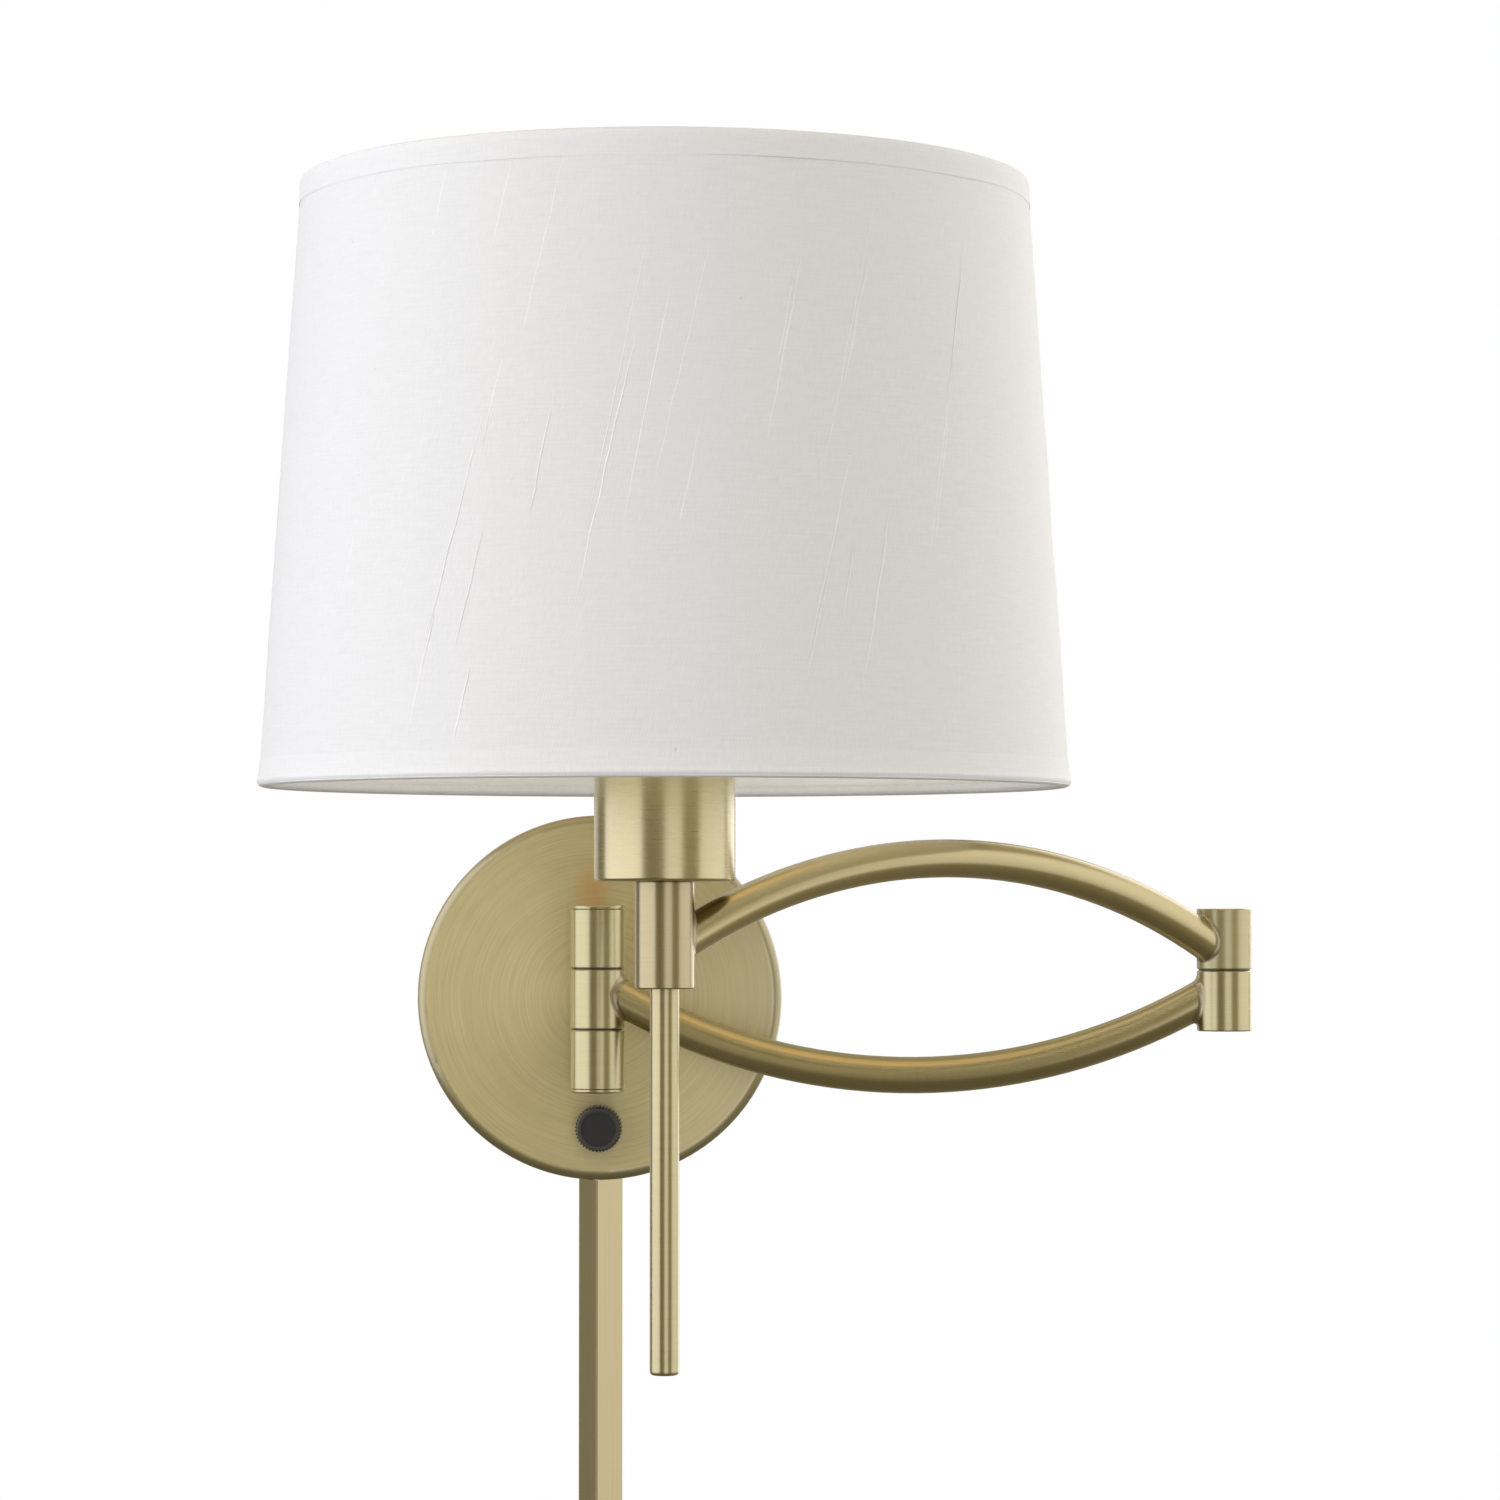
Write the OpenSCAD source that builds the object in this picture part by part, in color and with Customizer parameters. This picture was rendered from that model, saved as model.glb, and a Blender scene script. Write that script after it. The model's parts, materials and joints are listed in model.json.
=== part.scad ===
// Swing arm wall sconce: a round wall plate, two bowed tube arms that swing level on
// vertical hinges, and a tapered drum shade over a medium base lamp holder.
// The origin is the centre of the wall box screws, in the wall's plane.
// +Y points into the wall, +X to the right of a person facing it, +Z up.

/* [Wall plate] */
// Diameter of the round wall plate
plate_d = 130; // [126:1:150]
// Depth of the plate, from the wall to its face
plate_depth = 21; // [20.5:0.5:24]
// Thickness of the plate's spun sheet
plate_wall = 1.2; // [1:0.1:1.4]
// Radius of the plate's rounded edge
plate_edge_r = 3.6; // [2.5:0.1:4]
// Distance between the two wall box screws
box_screw_spacing = 88.9; // [83.3:0.1:88.9]
// Length of each wall box screw slot
box_slot_l = 11; // [8:0.5:14]

/* [Hinges] */
// Outside diameter of each hinge barrel
barrel_d = 19; // [18.5:0.5:20]
// Height of each hinge barrel
barrel_h = 20.8; // [20:0.1:22]
// Gap between two barrels, filled by a washer
barrel_gap = 0.5; // [0.5:0.1:0.8]
// Distance from the wall to the wall hinge's axis
hinge_out = 43; // [41:1:50]
// Outside diameter of the hollow hinge pins
pin_d = 10; // [9.5:0.1:10.4]
// Radial clearance between a hinge pin and the barrel that turns on it
running_gap = 0.05; // [0.03:0.01:0.08]

/* [Arms] */
// Distance between the hinge axes of one arm
arm_reach = 220; // [200:1:240]
// Outside diameter of the arm tubes
arm_d = 12.7; // [12:0.1:13.5]
// Wall thickness of the arm tubes
arm_wall = 1.2; // [1:0.1:1.5]
// How far the middle of an arm bows away from its ends
arm_bow = 26.2; // [22:0.1:30]
// Angle between the lower arm and the wall at rest
lower_swing = 9; // [5:0.5:30]
// Angle between the two arms at rest
fold_angle = 38.7; // [30:0.1:60]
// How much higher the upper arm ends at the lamp holder than at the elbow
holder_rise = 2; // [0:0.1:3]

/* [Lamp holder] */
// Diameter of the barrel that carries the lamp holder
holder_d = 19.3; // [18.5:0.1:20]
// Height of the barrel that carries the lamp holder
holder_h = 34.6; // [32:0.1:38]
// Diameter of the hanging stem
stem_d = 9.5; // [9:0.1:11]
// Length of the hanging stem
stem_l = 124; // [80:1:140]
// Diameter of the socket cup
cup_d = 45.6; // [45:0.1:48]
// Height of the socket cup
cup_h = 50; // [48:0.5:51]

/* [Shade] */
// Diameter of the shade's fabric at the bottom
shade_bottom_d = 261; // [240:1:280]
// Diameter of the shade's fabric at the top
shade_top_d = 234.6; // [220:0.2:240]
// Height of the shade
shade_h = 195.5; // [180:0.5:210]
// Height of the shade's lower rim above the bottom of the socket cup
shade_lift = 30.1; // [28:0.1:32]
// Height of the hem band along each rim
hem_h = 8.6; // [7:0.1:10]

/* [Switch] */
// Diameter of the switch knob
knob_d = 16.4; // [15.6:0.1:18]
// Height of the switch knob
knob_h = 11; // [10:0.5:13]
// How far the knob is below the plate's centre
knob_drop = 46.3; // [45:0.1:47]

/* [Cord cover] */
// Width of the cord cover
cover_w = 15.5; // [15:0.1:16.5]
// How far the cord cover stands out from the wall
cover_depth = 15; // [14.5:0.1:16]
// Length of the cord cover
cover_l = 254; // [150:1:305]
// Diameter of the hole for the cord
cord_hole_d = 6; // [5:0.1:6]

/* [Hidden] */
$fn = 96;

// Hinge barrels
barrel_r = barrel_d / 2;
barrel_edge = 0.4;
pin_r = pin_d / 2;
pin_bore_r = 3.4;
turning_bore_r = pin_r + running_gap;
step_z = barrel_h + barrel_gap;
stack_top = 1.5 * barrel_h + barrel_gap;
pocket_r = 7.6;
pocket_h = 5;
nut_corner_r = 7.4;
nut_h = 3;
plug_h = 1.5;
washer_t = barrel_gap - 0.1;
washer_r = barrel_r - 0.7;

// Barrel end caps
cap_groove_h = 0.35;
cap_rim_h = 0.9;
cap_edge_r = 0.65;
cap_spigot_h = 0.9;

// Wires, and the holes and the pin's window that they run through
wire_r = 2.2;
sheath_r = wire_r + 0.4;
wire_hole_r = 2.6;
side_hole_r = 3.6;
wall_wire_hole_r = 3;
wire_past_face = 0.8;
window_h = 8;
window_in = 0.8;
wire_end_in = 10;

// Wall plate and what is behind it
plate_r = plate_d / 2;
plate_in_r = plate_r - plate_wall;
plate_in_depth = plate_depth - plate_wall;
strap_w = 20;
strap_t = 1.5;
strap_x = plate_in_r - 1.4;
ear_h = 15;
rim_screw_out = 9;
rim_screw_r = 2;
rim_head_r = rim_screw_r + plate_wall;
box_slot_r = 2.3;
strap_hole_r = 7;
ground_x = 21;
screw_head_r = 3.6;
slot_w = 0.8;
rim_screw_l = 6.4;

// Bracket that carries the wall hinge
pad_w = 14;
pad_h = 58;
pad_t = 4;
post_r = 5.5;
yoke_screw_z = 8;
yoke_screw_r = 2;

// Arms: the bow is one circular arc between the barrels' faces
span = arm_reach - barrel_d;
bow_r = (span * span / 4 + arm_bow * arm_bow) / (2 * arm_bow);
bow_half = asin(span / 2 / bow_r);
bow_run_in = 2.4;
wire_run_in = 0.2;
arm_r = arm_d / 2;
arm_tilt = atan(holder_rise / span);
upper_dir = 180 - lower_swing + fold_angle;
elbow_x = arm_reach * cos(lower_swing);
elbow_y = -hinge_out - arm_reach * sin(lower_swing);
holder_x = elbow_x + arm_reach * cos(upper_dir);
holder_y = elbow_y + arm_reach * sin(upper_dir);

// Elbow pin
elbow_floor_h = 6;
elbow_nut_gap = 0.2;
elbow_nut_h = 2.4;

// Lamp holder column
holder_mid = step_z + holder_rise;
holder_z = holder_mid - holder_h / 2;
stem_edge_r = 1.3;
stud_r = 3;
stud_up = 8;
stud_down = 10;
cup_z = holder_z + holder_h;
cup_wall = 1.2;
cup_edge_r = 1.1;
socket_r = 16.8;
socket_z = cup_z + 9.3;
socket_h = 53.7;
screw_shell_in_r = 13.2;
screw_shell_t = 0.5;
screw_shell_h = 25;
screw_shell_z = socket_z + socket_h - screw_shell_h - 1;
terminal_z = socket_z + 10;
terminal_r = 3;
terminal_deep = 2.2;
flange_r = 20;
flange_h = 2.5;
flange_z = cup_z + cup_h + 2.3;
fitter_z = flange_z + flange_h;
fitter_t = 1.5;
fitter_r = 21.5;
shade_ring_h = 4;

// Shade
shade_z = cup_z + shade_lift;
fabric_t = 0.5;
liner_t = 0.4;
hem_t = 0.5;
hem_in_h = 3.1;
rim_wire_r = 1.4;
spoke_r = 1.3;
spoke_count = 3;
bottom_r = shade_bottom_d / 2;
top_r = shade_top_d / 2;
skin_t = fabric_t + liner_t;
rim_wire_gap = 0.05;
rim_wire_in = skin_t + rim_wire_r + rim_wire_gap;
rim_wire_up = hem_t + rim_wire_r;
bottom_wire_r = shade_r(rim_wire_up) - rim_wire_in;
top_wire_r = shade_r(shade_h - rim_wire_up) - rim_wire_in;
bottom_wire_z = shade_z + rim_wire_up;
top_wire_z = shade_z + shade_h - rim_wire_up;

// Switch
knob_r = knob_d / 2;
knob_gap = 0.6;
knob_recess_r = 6.9;
knob_recess_h = 3.6;
rib_count = 40;
rib_cut_r = 0.42;
bushing_r = 4.75;
bushing_out = 3.4;
shaft_r = 3;
switch_r = 9.5;
switch_h = 11.6;
switch_back = plate_in_depth - switch_h;
shaft_back = switch_back + 3.3;
lead_r = 0.9;
lead_in = 2;
lead_out = plate_in_depth - 5;
connector_x = switch_r + 11;
switch_nut_r = 6.3;
switch_nut_h = 2;

// Cord cover
cover_wall = 0.9;
cover_side = 3.5;
ridge_x = -1;
ridge_half = 0.4;
cover_top = -plate_r - 0.3;
cord_y = -5.8;
cord_hole_r = cord_hole_d / 2;
grommet_r = cord_hole_r + 1.5;
grommet_flange_r = cord_hole_r + 3;

// ---- Frames of reference ----

// Local Z runs out of the wall, local Y up
module on_wall() {
    rotate([90, 0, 0]) children();
}

module at_wall_hinge() {
    translate([0, -hinge_out, 0]) children();
}

// Local X runs along the lower arm, from the wall hinge
module on_lower_arm() {
    at_wall_hinge() rotate([0, 0, -lower_swing]) children();
}

// Local X runs along the upper arm, from the elbow
module on_upper_arm() {
    translate([elbow_x, elbow_y, 0]) rotate([0, 0, upper_dir]) children();
}

module at_holder() {
    translate([holder_x, holder_y, 0]) children();
}

module at_switch() {
    on_wall() translate([0, -knob_drop, 0]) children();
}

// ---- Shared shapes ----

// Half section of a disc whose top edge is rounded
module rounded_section(r, h, edge) {
    square([r, h - edge]);
    square([r - edge, h]);
    translate([r - edge, h - edge]) intersection() {
        circle(r = edge);
        square(edge);
    }
}

// A thin cup, open at z = 0 and closed at z = h
module spun_cup(r, h, wall, edge) {
    rotate_extrude() difference() {
        rounded_section(r, h, edge);
        rounded_section(r - wall, h - wall, max(edge - wall, 0.2));
        translate([0, -1]) square([r - wall, 1.5]);
    }
}

module ring(r_out, r_in, h) {
    rotate_extrude() translate([r_in, 0]) square([r_out - r_in, h]);
}

// A solid cylinder with both edges bevelled
module bevelled(r, h, edge) {
    rotate_extrude() polygon([
        [0, 0], [r - edge, 0], [r, edge], [r, h - edge], [r - edge, h], [0, h]
    ]);
}

module hex_nut(corner_r, bore_r, h) {
    difference() {
        cylinder(r = corner_r, h = h, $fn = 6);
        translate([0, 0, -1]) cylinder(r = bore_r, h = h + 2);
    }
}

// A hinge barrel from z = 0 up, with its bore
module barrel(bore_r) {
    difference() {
        bevelled(barrel_r, barrel_h, barrel_edge);
        translate([0, 0, -1]) cylinder(r = bore_r, h = barrel_h + 2);
    }
}

// Hole for the wires, from the local Z axis out along local X
module side_hole(r, z, l) {
    translate([0, 0, z]) rotate([0, 90, 0]) cylinder(r = r, h = l);
}

// The arc of one arm as seen along its local Y, swept by a round section
module bow(dir, extra) {
    sweep = 2 * (bow_half + extra);
    translate([arm_reach / 2, 0, -dir * (bow_r - arm_bow)])
        rotate([90, 0, 0])
            rotate([0, 0, dir * 90 - sweep / 2])
                rotate_extrude(angle = sweep, $fn = 180)
                    translate([bow_r, 0]) children();
}

module arm_tube_shape(dir) {
    bow(dir, bow_run_in) difference() {
        circle(r = arm_r, $fn = 48);
        circle(r = arm_r - arm_wall, $fn = 48);
    }
}

// Wire along an arm, from one barrel's face to the other's
module arm_wire_shape(dir) {
    bow(dir, wire_run_in) circle(r = wire_r, $fn = 24);
}

// A thin rounded cap with a groove under it, its spigot below z = 0
module end_cap() {
    rotate_extrude() {
        translate([0, -cap_spigot_h]) square([pocket_r - 0.05, cap_spigot_h]);
        square([barrel_r - 0.5, cap_groove_h]);
        translate([0, cap_groove_h]) rounded_section(barrel_r, cap_rim_h, cap_edge_r);
    }
}

// ---- Wall plate ----

module backplate() {
    color("darkkhaki") difference() {
        on_wall() spun_cup(plate_r, plate_depth, plate_wall, plate_edge_r);
        // Wire hole and screw holes behind the hinge bracket
        on_wall() translate([0, -step_z, 0]) cylinder(r = wall_wire_hole_r, h = plate_depth + 1);
        for (z = [-yoke_screw_z, yoke_screw_z])
            on_wall() translate([0, z, 0]) cylinder(r = yoke_screw_r, h = plate_depth + 1);
        // Hole for the switch's bushing
        at_switch() cylinder(r = bushing_r, h = plate_depth + 1);
        // Countersunk holes in the rim
        for (side = [0, 180]) rotate([0, side, 0])
            translate([0, -rim_screw_out, 0]) rotate([0, 90, 0]) {
                cylinder(r = rim_screw_r, h = plate_r + 1);
                translate([0, 0, plate_in_r])
                    cylinder(r1 = rim_screw_r, r2 = rim_head_r, h = plate_wall);
            }
        // Hole for the cord's grommet
        translate([0, cord_y, -plate_r - 1]) cylinder(r = grommet_r, h = plate_wall + 3);
    }
}

module box_slot(x) {
    half = box_slot_l / 2 - box_slot_r;
    on_wall() translate([x, 0, -1]) {
        for (end = [-half, half]) translate([end, 0, 0]) cylinder(r = box_slot_r, h = strap_t + 2);
        translate([-half, -box_slot_r, 0]) cube([2 * half, 2 * box_slot_r, strap_t + 2]);
    }
}

module mounting_strap() {
    color("silver") difference() {
        union() {
            translate([-strap_x, -strap_t, -strap_w / 2]) cube([2 * strap_x, strap_t, strap_w]);
            for (x = [-strap_x, strap_x - strap_t])
                translate([x, -ear_h, -strap_w / 2]) cube([strap_t, ear_h, strap_w]);
        }
        for (side = [-1, 1]) box_slot(side * box_screw_spacing / 2);
        on_wall() translate([0, 0, -1]) cylinder(r = strap_hole_r, h = strap_t + 2);
        on_wall() translate([ground_x, 0, -1]) cylinder(r = rim_screw_r, h = strap_t + 2);
        translate([-strap_x - 1, -rim_screw_out, 0])
            rotate([0, 90, 0]) cylinder(r = rim_screw_r, h = 2 * strap_x + 2);
    }
}

module rim_screws() {
    head_gap = 0.1;
    color("darkkhaki") for (side = [0, 180]) rotate([0, side, 0])
        translate([plate_in_r - rim_screw_l, -rim_screw_out, 0]) rotate([0, 90, 0]) difference() {
            union() {
                cylinder(r = rim_screw_r, h = rim_screw_l);
                translate([0, 0, rim_screw_l])
                    cylinder(r1 = rim_screw_r, r2 = rim_head_r - head_gap, h = plate_wall - head_gap);
            }
            translate([-4, -slot_w / 2, rim_screw_l + plate_wall / 2]) cube([8, slot_w, 2]);
        }
}

module ground_screw() {
    color("seagreen") on_wall() translate([ground_x, 0, 0]) difference() {
        union() {
            cylinder(r = rim_screw_r, h = strap_t);
            translate([0, 0, strap_t]) cylinder(r = screw_head_r, h = 2);
        }
        translate([-5, -slot_w / 2, strap_t + 1]) cube([10, slot_w, 2]);
    }
}

// ---- Wall hinge ----

module wall_yoke() {
    color("darkkhaki") difference() {
        union() {
            translate([-pad_w / 2, -plate_depth - pad_t, -pad_h / 2]) cube([pad_w, pad_t, pad_h]);
            for (z = [-step_z, step_z]) on_wall() translate([0, z, plate_depth])
                cylinder(r = post_r, h = hinge_out - plate_depth);
        }
        at_wall_hinge() translate([0, 0, -pad_h]) cylinder(r = barrel_r, h = 2 * pad_h);
        on_wall() translate([0, -step_z, 0]) cylinder(r = wall_wire_hole_r, h = hinge_out);
        for (z = [-yoke_screw_z, yoke_screw_z])
            on_wall() translate([0, z, 0]) cylinder(r = yoke_screw_r, h = hinge_out);
    }
}

module yoke_screws() {
    head_h = 2.4;
    color("silver") for (z = [-yoke_screw_z, yoke_screw_z])
        on_wall() translate([0, z, plate_in_depth]) difference() {
            union() {
                translate([0, 0, -head_h]) cylinder(r = screw_head_r, h = head_h);
                cylinder(r = yoke_screw_r, h = plate_wall + pad_t - 0.5);
            }
            translate([-5, -slot_w / 2, -head_h - 1]) cube([10, slot_w, 2]);
        }
}

module upper_wall_barrel() {
    color("darkkhaki") at_wall_hinge() translate([0, 0, stack_top - barrel_h]) difference() {
        barrel(pin_r);
        translate([0, 0, barrel_h - pocket_h]) cylinder(r = pocket_r, h = pocket_h + 1);
    }
}

module lower_wall_barrel() {
    color("darkkhaki") at_wall_hinge() translate([0, 0, -stack_top]) difference() {
        barrel(pin_r);
        translate([0, 0, -1]) cylinder(r = pocket_r, h = pocket_h + 1);
        rotate([0, 0, 90]) side_hole(wall_wire_hole_r, barrel_h / 2, barrel_r + 1);
    }
}

module upper_barrel_cap() {
    color("darkkhaki") at_wall_hinge() translate([0, 0, stack_top]) end_cap();
}

module lower_barrel_cap() {
    color("darkkhaki") at_wall_hinge() translate([0, 0, -stack_top]) mirror([0, 0, 1]) end_cap();
}

module wall_hinge_pin() {
    end_z = stack_top - cap_spigot_h - 0.3;
    color("goldenrod") at_wall_hinge() difference() {
        translate([0, 0, -end_z]) ring(pin_r, pin_bore_r, 2 * end_z);
        // Window that the arm's wires sweep through
        translate([-pin_d, -pin_d, -window_h / 2]) cube([2 * pin_d, pin_d + window_in, window_h]);
        rotate([0, 0, 90]) side_hole(wire_hole_r, -step_z, pin_d);
    }
}

module wall_hinge_nuts() {
    nut_z = stack_top - pocket_h;
    color("goldenrod") at_wall_hinge() {
        translate([0, 0, nut_z]) hex_nut(nut_corner_r, pin_r, nut_h);
        translate([0, 0, -nut_z - nut_h]) hex_nut(nut_corner_r, pin_r, nut_h);
    }
}

module wall_hinge_washers() {
    color("ivory") at_wall_hinge() for (z = [-1, 1])
        translate([0, 0, z * (barrel_h + barrel_gap) / 2 - washer_t / 2])
            ring(washer_r, turning_bore_r, washer_t);
}

// ---- Switch and wiring behind the plate ----

module switch_body() {
    color("dimgray") at_switch() difference() {
        union() {
            translate([0, 0, switch_back]) cylinder(r = switch_r, h = switch_h);
            translate([0, 0, plate_in_depth])
                cylinder(r = bushing_r, h = plate_wall + bushing_out);
        }
        translate([0, 0, shaft_back - 0.3])
            cylinder(r = shaft_r + running_gap, h = plate_depth);
        for (side = [0, 180]) rotate([0, 0, side])
            translate([switch_r - lead_in, 0, lead_out])
                rotate([0, 90, 0]) cylinder(r = lead_r, h = 4);
    }
}

module switch_nut() {
    color("goldenrod") at_switch() translate([0, 0, plate_depth])
        hex_nut(switch_nut_r, bushing_r, switch_nut_h);
}

module switch_leads() {
    color("black") at_switch() for (side = [0, 180]) rotate([0, 0, side])
        translate([switch_r - lead_in, 0, lead_out]) rotate([0, 90, 0])
            cylinder(r = lead_r, h = connector_x - switch_r + lead_in + 4);
}

module wire_connectors() {
    color("orange") at_switch() for (side = [0, 180]) rotate([0, 0, side])
        translate([connector_x, 0, lead_out]) rotate([0, 90, 0]) difference() {
            cylinder(r1 = 4.2, r2 = 2.8, h = 15);
            translate([0, 0, -1]) cylinder(r = 2, h = 11);
        }
}

module wall_wire() {
    color("black") at_wall_hinge() {
        translate([0, 0, -step_z]) cylinder(r = wire_r, h = step_z, $fn = 24);
        translate([0, 0, -step_z]) sphere(r = wire_r, $fn = 24);
        translate([0, 0, -step_z]) rotate([-90, 0, 0])
            cylinder(r = wire_r, h = hinge_out - wire_end_in, $fn = 24);
    }
}

module cord_grommet() {
    grommet_h = plate_wall + 2.3;
    color("black") translate([0, cord_y, -plate_r - 0.2]) difference() {
        union() {
            cylinder(r = grommet_r, h = grommet_h);
            translate([0, 0, plate_wall + 0.8]) cylinder(r = grommet_flange_r, h = 1.5);
        }
        translate([0, 0, -1]) cylinder(r = cord_hole_r, h = grommet_h + 2);
    }
}

// ---- Cord cover ----

// Section of the cover, y away from the wall: two faces that meet at a ridge
module cover_section() {
    half = cover_w / 2;
    inner = half - cover_wall;
    inner_top = cover_depth - 1.2 * cover_wall;
    difference() {
        polygon([
            [-half, 0], [half, 0], [half, cover_side],
            [ridge_x + ridge_half, cover_depth], [ridge_x - ridge_half, cover_depth],
            [-half, cover_side]
        ]);
        polygon([
            [-inner, -1], [inner, -1], [inner, cover_side - 0.4],
            [ridge_x + 0.1, inner_top], [ridge_x - 0.1, inner_top],
            [-inner, cover_side - 0.4]
        ]);
    }
}

module cord_cover() {
    color("darkkhaki") translate([0, 0, cover_top - cover_l])
        linear_extrude(height = cover_l) mirror([0, 1]) cover_section();
}

module cord_cover_base() {
    base_w = cover_w - 2 * cover_wall - 0.4;
    end_gap = 4;
    color("silver") translate([-base_w / 2, -1, cover_top - cover_l + end_gap])
        cube([base_w, 1, cover_l - 2 * end_gap]);
}

// ---- Knob ----

module switch_knob() {
    rim_w = 1.1;
    rim_drop = 0.6;
    color("black") at_switch() translate([0, 0, plate_depth + knob_gap]) difference() {
        union() {
            linear_extrude(height = knob_h - 1) difference() {
                circle(r = knob_r);
                for (i = [0 : rib_count - 1]) rotate(i * 360 / rib_count)
                    translate([knob_r, 0]) circle(r = rib_cut_r, $fn = 16);
            }
            translate([0, 0, knob_h - 1])
                cylinder(r1 = knob_r - rib_cut_r, r2 = knob_r - rib_cut_r - 0.5, h = 1);
        }
        translate([0, 0, knob_h - rim_drop]) cylinder(r = knob_r - rib_cut_r - 0.5 - rim_w, h = 1);
        translate([0, 0, -1]) cylinder(r = knob_recess_r, h = knob_recess_h + 1);
        cylinder(r = shaft_r, h = knob_h - 2);
    }
}

module switch_shaft() {
    color("goldenrod") at_switch() translate([0, 0, shaft_back])
        cylinder(r = shaft_r, h = plate_depth + knob_gap + knob_h - 2 - shaft_back);
}

// ---- Lower arm ----

module wall_hub() {
    color("darkkhaki") on_lower_arm() translate([0, 0, -barrel_h / 2]) difference() {
        barrel(turning_bore_r);
        side_hole(side_hole_r, barrel_h / 2, barrel_r + 1);
    }
}

module lower_arm_tube() {
    color("darkkhaki") on_lower_arm() difference() {
        arm_tube_shape(-1);
        for (x = [0, arm_reach]) translate([x, 0, -barrel_h]) cylinder(r = barrel_r, h = 2 * barrel_h);
    }
}

module elbow_lower_barrel() {
    color("darkkhaki") on_lower_arm() translate([arm_reach, 0, -barrel_h / 2]) difference() {
        barrel(pin_r);
        translate([0, 0, -1]) cylinder(r = pocket_r, h = pocket_h + 1);
        rotate([0, 0, 180]) side_hole(side_hole_r, barrel_h / 2, barrel_r + 1);
    }
}

module elbow_lower_plug() {
    color("darkkhaki") on_lower_arm() translate([arm_reach, 0, -barrel_h / 2])
        cylinder(r = pocket_r, h = plug_h);
}

module elbow_pin() {
    bottom = -barrel_h / 2 + plug_h + 0.3;
    top = step_z - barrel_h / 2 + elbow_floor_h + elbow_nut_gap + elbow_nut_h + 0.3;
    color("goldenrod") on_lower_arm() translate([arm_reach, 0, 0]) difference() {
        translate([0, 0, bottom]) ring(pin_r, pin_bore_r, top - bottom);
        rotate([0, 0, 180]) side_hole(wire_hole_r, 0, pin_d);
    }
}

module elbow_pin_nuts() {
    color("goldenrod") on_lower_arm() translate([arm_reach, 0, 0]) {
        translate([0, 0, -barrel_h / 2 + pocket_h - nut_h]) hex_nut(nut_corner_r, pin_r, nut_h);
        translate([0, 0, step_z - barrel_h / 2 + elbow_floor_h + elbow_nut_gap])
            hex_nut(nut_corner_r - 0.2, pin_r, elbow_nut_h);
    }
}

module elbow_washer() {
    color("ivory") on_lower_arm() translate([arm_reach, 0, (barrel_h + barrel_gap - washer_t) / 2])
        ring(washer_r, turning_bore_r, washer_t);
}

module lower_arm_wire() {
    color("black") on_lower_arm() {
        arm_wire_shape(-1);
        translate([pin_r + wire_past_face, 0, 0]) rotate([0, 90, 0])
            cylinder(r = wire_r, h = barrel_r - pin_r, $fn = 24);
        translate([arm_reach - barrel_r - wire_past_face, 0, 0]) rotate([0, 90, 0])
            cylinder(r = wire_r, h = barrel_r + wire_past_face, $fn = 24);
        translate([arm_reach, 0, 0]) sphere(r = wire_r, $fn = 24);
        translate([arm_reach, 0, 0]) cylinder(r = wire_r, h = step_z - 3.5, $fn = 24);
    }
}

// ---- Upper arm ----

// Local frame of the bowed tube: the elbow end at the barrel's middle, tilted to the holder
module on_upper_bow() {
    on_upper_arm() translate([barrel_r, 0, step_z]) rotate([0, -arm_tilt, 0])
        translate([-barrel_r, 0, 0]) children();
}

module elbow_upper_barrel() {
    color("darkkhaki") on_upper_arm() translate([0, 0, step_z - barrel_h / 2]) difference() {
        bevelled(barrel_r, barrel_h, barrel_edge);
        translate([0, 0, -1]) cylinder(r = turning_bore_r, h = elbow_floor_h + 2);
        translate([0, 0, elbow_floor_h]) cylinder(r = pocket_r, h = barrel_h);
        side_hole(side_hole_r, barrel_h / 2, barrel_r + 1);
    }
}

module elbow_upper_plug() {
    color("darkkhaki") on_upper_arm() translate([0, 0, step_z + barrel_h / 2 - plug_h])
        cylinder(r = pocket_r, h = plug_h);
}

module upper_arm_tube() {
    color("darkkhaki") difference() {
        on_upper_bow() arm_tube_shape(1);
        on_upper_arm() cylinder(r = barrel_r, h = 2 * barrel_h);
        at_holder() cylinder(r = holder_d / 2, h = 2 * barrel_h);
    }
}

module upper_arm_wire() {
    color("black") {
        on_upper_bow() arm_wire_shape(1);
        at_holder() translate([0, 0, holder_mid]) {
            rotate([0, 0, upper_dir + 180]) rotate([0, 90, 0])
                cylinder(r = wire_r, h = holder_d / 2 + wire_past_face, $fn = 24);
            translate([0, 0, -sheath_r])
                cylinder(r = sheath_r, h = socket_z + 8 - holder_mid + sheath_r, $fn = 24);
        }
    }
}

// ---- Lamp holder ----

module holder_barrel() {
    color("rosybrown") at_holder() translate([0, 0, holder_z]) difference() {
        bevelled(holder_d / 2, holder_h, barrel_edge);
        translate([0, 0, stud_up]) cylinder(r = pin_r, h = holder_h);
        translate([0, 0, -1]) cylinder(r = stud_r, h = stud_up + 2);
        rotate([0, 0, upper_dir + 180]) side_hole(side_hole_r, holder_mid - holder_z, holder_d);
    }
}

module stem() {
    color("darkkhaki") at_holder() translate([0, 0, holder_z - stem_l]) difference() {
        translate([0, 0, stem_l]) mirror([0, 0, 1])
            rotate_extrude() rounded_section(stem_d / 2, stem_l, stem_edge_r);
        translate([0, 0, stem_l - stud_down]) cylinder(r = stud_r, h = stud_down + 1);
    }
}

module stem_stud() {
    color("silver") at_holder() translate([0, 0, holder_z - stud_down])
        cylinder(r = stud_r, h = stud_down + stud_up);
}

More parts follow.
